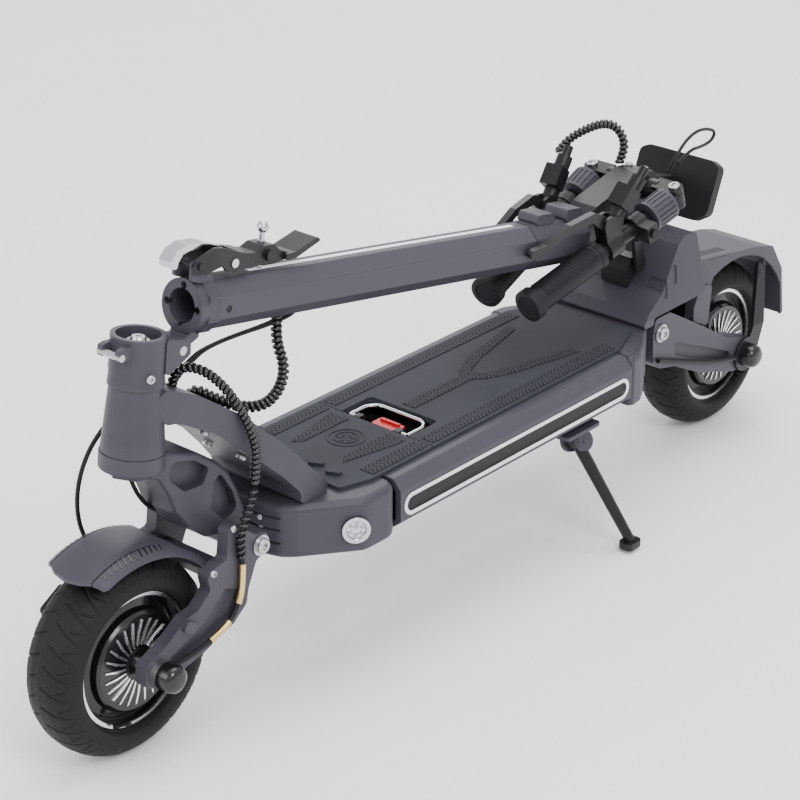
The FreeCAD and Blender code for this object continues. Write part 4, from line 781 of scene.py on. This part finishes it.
def mat_pattern():
    """Raised rib strips along both sides and a centre strip that forks towards the rear."""
    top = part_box("deck_mat")[1][2]
    height = top + 1.1 * MM
    ribs = Build()
    for s in (1, -1):
        for x0, x1 in ((-226, 122), (132, 226)):
            edge = [(x0, s * 66), (x1, s * 66), (x1, s * 85), (x0, s * 85)]
            strip(ribs, edge[::s], height)
        fork = [(-60, s * 9), (-96, s * 22), (-190, s * 44), (-190, s * 58), (-88, s * 36), (-52, s * 20), (-40, s * 9)]
        strip(ribs, fork[::s], height)
        strip(ribs, [(138, s * 30), (214, s * 30), (226, s * 40), (150, s * 56), (138, s * 56)][::s], height)
    strip(ribs, [(-60, -9), (66, -9), (66, 9), (-60, 9)], height)
    piece = ribs.piece("mat_ribs", MAT_RIBS, "deck", smooth=False, slot="mat_rubber")
    crest = Build()
    cx, cy = 176 * MM, 0.0
    ring = [(math.cos(w), math.sin(w)) for w in (2 * math.pi * k / 48 for k in range(48))]
    for r0, r1 in ((23, 20.5), (15, 13.4)):
        outer = [Vector((cx + x * r0 * MM, cy + y * r0 * MM, top - 0.0004)) for x, y in ring]
        inner = [Vector((cx + x * r1 * MM, cy + y * r1 * MM, top - 0.0004)) for x, y in ring]
        lift = Vector((0, 0, 1.3 * MM))
        verts = outer + inner + [p + lift for p in outer] + [p + lift for p in inner]
        faces = []
        for k in range(48):
            n = (k + 1) % 48
            faces += [(k, n, 96 + n, 96 + k), (48 + n, 48 + k, 144 + k, 144 + n), (96 + k, 96 + n, 144 + n, 144 + k)]
        crest.add(verts, faces)
    for turn in range(6):
        w = math.pi / 3 * turn
        c, sn = math.cos(w), math.sin(w)
        petal = [(3, 0), (7, 2.6), (12, 0), (7, -2.6)]
        crest.prism([(cx + (x * c - y * sn) * MM, cy + (x * sn + y * c) * MM, top) for x, y in petal],
                    (0, 0, -0.0004), (0, 0, 0.0009), 0.0004)
    crest.piece("mat_crest", MAT, "deck", smooth=False, slot="mat_rubber")
    return piece


def lamps():
    def kinds(low, high):
        if high.x - low.x > 0.3:
            return "led_rings", SILVER
        if high.z - low.z > 0.0285:
            return "lamp_bezels", CHROME
        return "lamp_glass", GLASS

    def trims(low, high):
        if high.x - low.x > 0.3:
            return "led_cores", PLASTIC
        if high.z > 0.0:
            return "charge_ports", MAT
        if high.z < -0.06:
            return "deck_feet", RUBBER
        return "handle_posts", PLASTIC

    split_node("deck_lamps", "deck", kinds)
    for side in (1, -1):
        out_dir = Vector((0.6, 0.8 * side, 0)).normalized()
        face, _ = drop_on(surface("deck_lamps"), mm((280.5 + 60, side * (107.6 + 80), 196))[0], -out_dir)
        ring, bowl, dots = Build(), Build(), Build()
        ring.lathe([(-1 * MM, 10.5 * MM), (1.2 * MM, 10.8 * MM), (2.6 * MM, 12 * MM), (2.8 * MM, 13.2 * MM), (1.8 * MM, 14.2 * MM),
                    (-2 * MM, 14.4 * MM)], face, out_dir, 48)
        sharpen(ring.piece(f"lamp_ring_{'left' if side > 0 else 'right'}", CHROME, "deck", slot="lamp"), 40)
        bowl.lathe([(0.4 * MM, 10.6 * MM), (0.5 * MM, 6.5 * MM), (1.4 * MM, 4.4 * MM), (2.2 * MM, 2 * MM), (2.4 * MM, 0)], face,
                   out_dir, 12)
        bowl.piece(f"lamp_bowl_{'left' if side > 0 else 'right'}", CHROME, "deck", False, slot="lamp")
        _, a, b = frame_of(out_dir)
        for k in range(6):
            w = math.pi / 3 * k
            spot = face + (a * math.cos(w) + b * math.sin(w)) * 7.6 * MM
            dots.lathe([(0.2 * MM, 2.3 * MM), (1.4 * MM, 1.9 * MM), (1.9 * MM, 0.9 * MM), (2.0 * MM, 0)], spot, out_dir, 12)
        dots.piece(f"lamp_cells_{'left' if side > 0 else 'right'}", GLASS, "deck", slot="lamp")
    split_node("deck_trim", "deck", trims)
    tree, build = surface("deck_ends"), Build()
    for k in range(4):
        z = GROUND_Z + (212 - 10.5 * k) * MM
        point, normal = drop_on(tree, (0.5, 0.030, z), (-1, 0, 0))
        build.lathe([(-0.001, 3.2 * MM), (0.0008, 3.0 * MM), (0.0014, 1.6 * MM), (0.0016, 0)], point, normal, 20)
    build.piece("nose_leds", GLASS, "deck", slot="lamp")


def grips():
    """Ribbed panels let into the rubber grips, and their end caps."""
    for side, s in (("left", 1), ("right", -1)):
        pivot = Vector(JOINTS[side + "_bar_fold"]["pos_m"])
        along = Vector((0.952, -0.117 * s, -0.281)).normalized()
        up = Vector((0, 0, 1))
        up = (up - along * up.dot(along)).normalized()
        out = along.cross(up)
        build = Build()
        for k in range(22):
            t = 158 + 4.2 * k
            ring = []
            for j in range(13):
                w = math.radians(-66 + 11 * j)
                ring.append(pivot + along * t * MM + (up * math.cos(w) + out * math.sin(w)) * 17.7 * MM)
            build.tube(ring, 0.9 * MM, 6)
        build.piece(side + "_grip_ribs", RUBBER, side + "_bar", slot="rubber")
        cap = Build()
        end = pivot + along * 270 * MM
        cap.lathe([(-14 * MM, 18.2 * MM), (-13 * MM, 20.6 * MM), (-3 * MM, 21.0 * MM), (0, 20.4 * MM), (1.0 * MM, 18 * MM),
                   (1.0 * MM, 13.5 * MM), (0.2 * MM, 13.0 * MM), (0.2 * MM, 0)], end, along, 48)
        sharpen(cap.piece(side + "_grip_cap", RUBBER, side + "_bar", slot="rubber"), 30)


def clamp_bolts():
    build = Build()
    for side, s in (("left", 1), ("right", -1)):
        point = Vector(JOINTS[side + "_bar_fold"]["pos_m"])
        axis = Vector((0.283, 0, 0.959)).normalized()
        bolt_head(build, point + axis * 15 * MM, axis, 5.5 * MM, 4 * MM)
    sharpen(build.piece("fold_bolts", STEEL, "stem", slot="steel"))


def finish_cad():
    """Loops over the CAD nodes that stay and leaves them as they are."""
    for name, node in NODES.items():
        if node.hide_render:
            continue


studio()
repaint()
cables()
for wheel_side, arm in (("front", "front_arm"), ("rear", "rear_arm")):
    tyre(wheel_side)
    wheel_trim(wheel_side)
    axle_cap(wheel_side, arm)
fasteners()
vents()
mat_pattern()
lamps()
grips()
clamp_bolts()
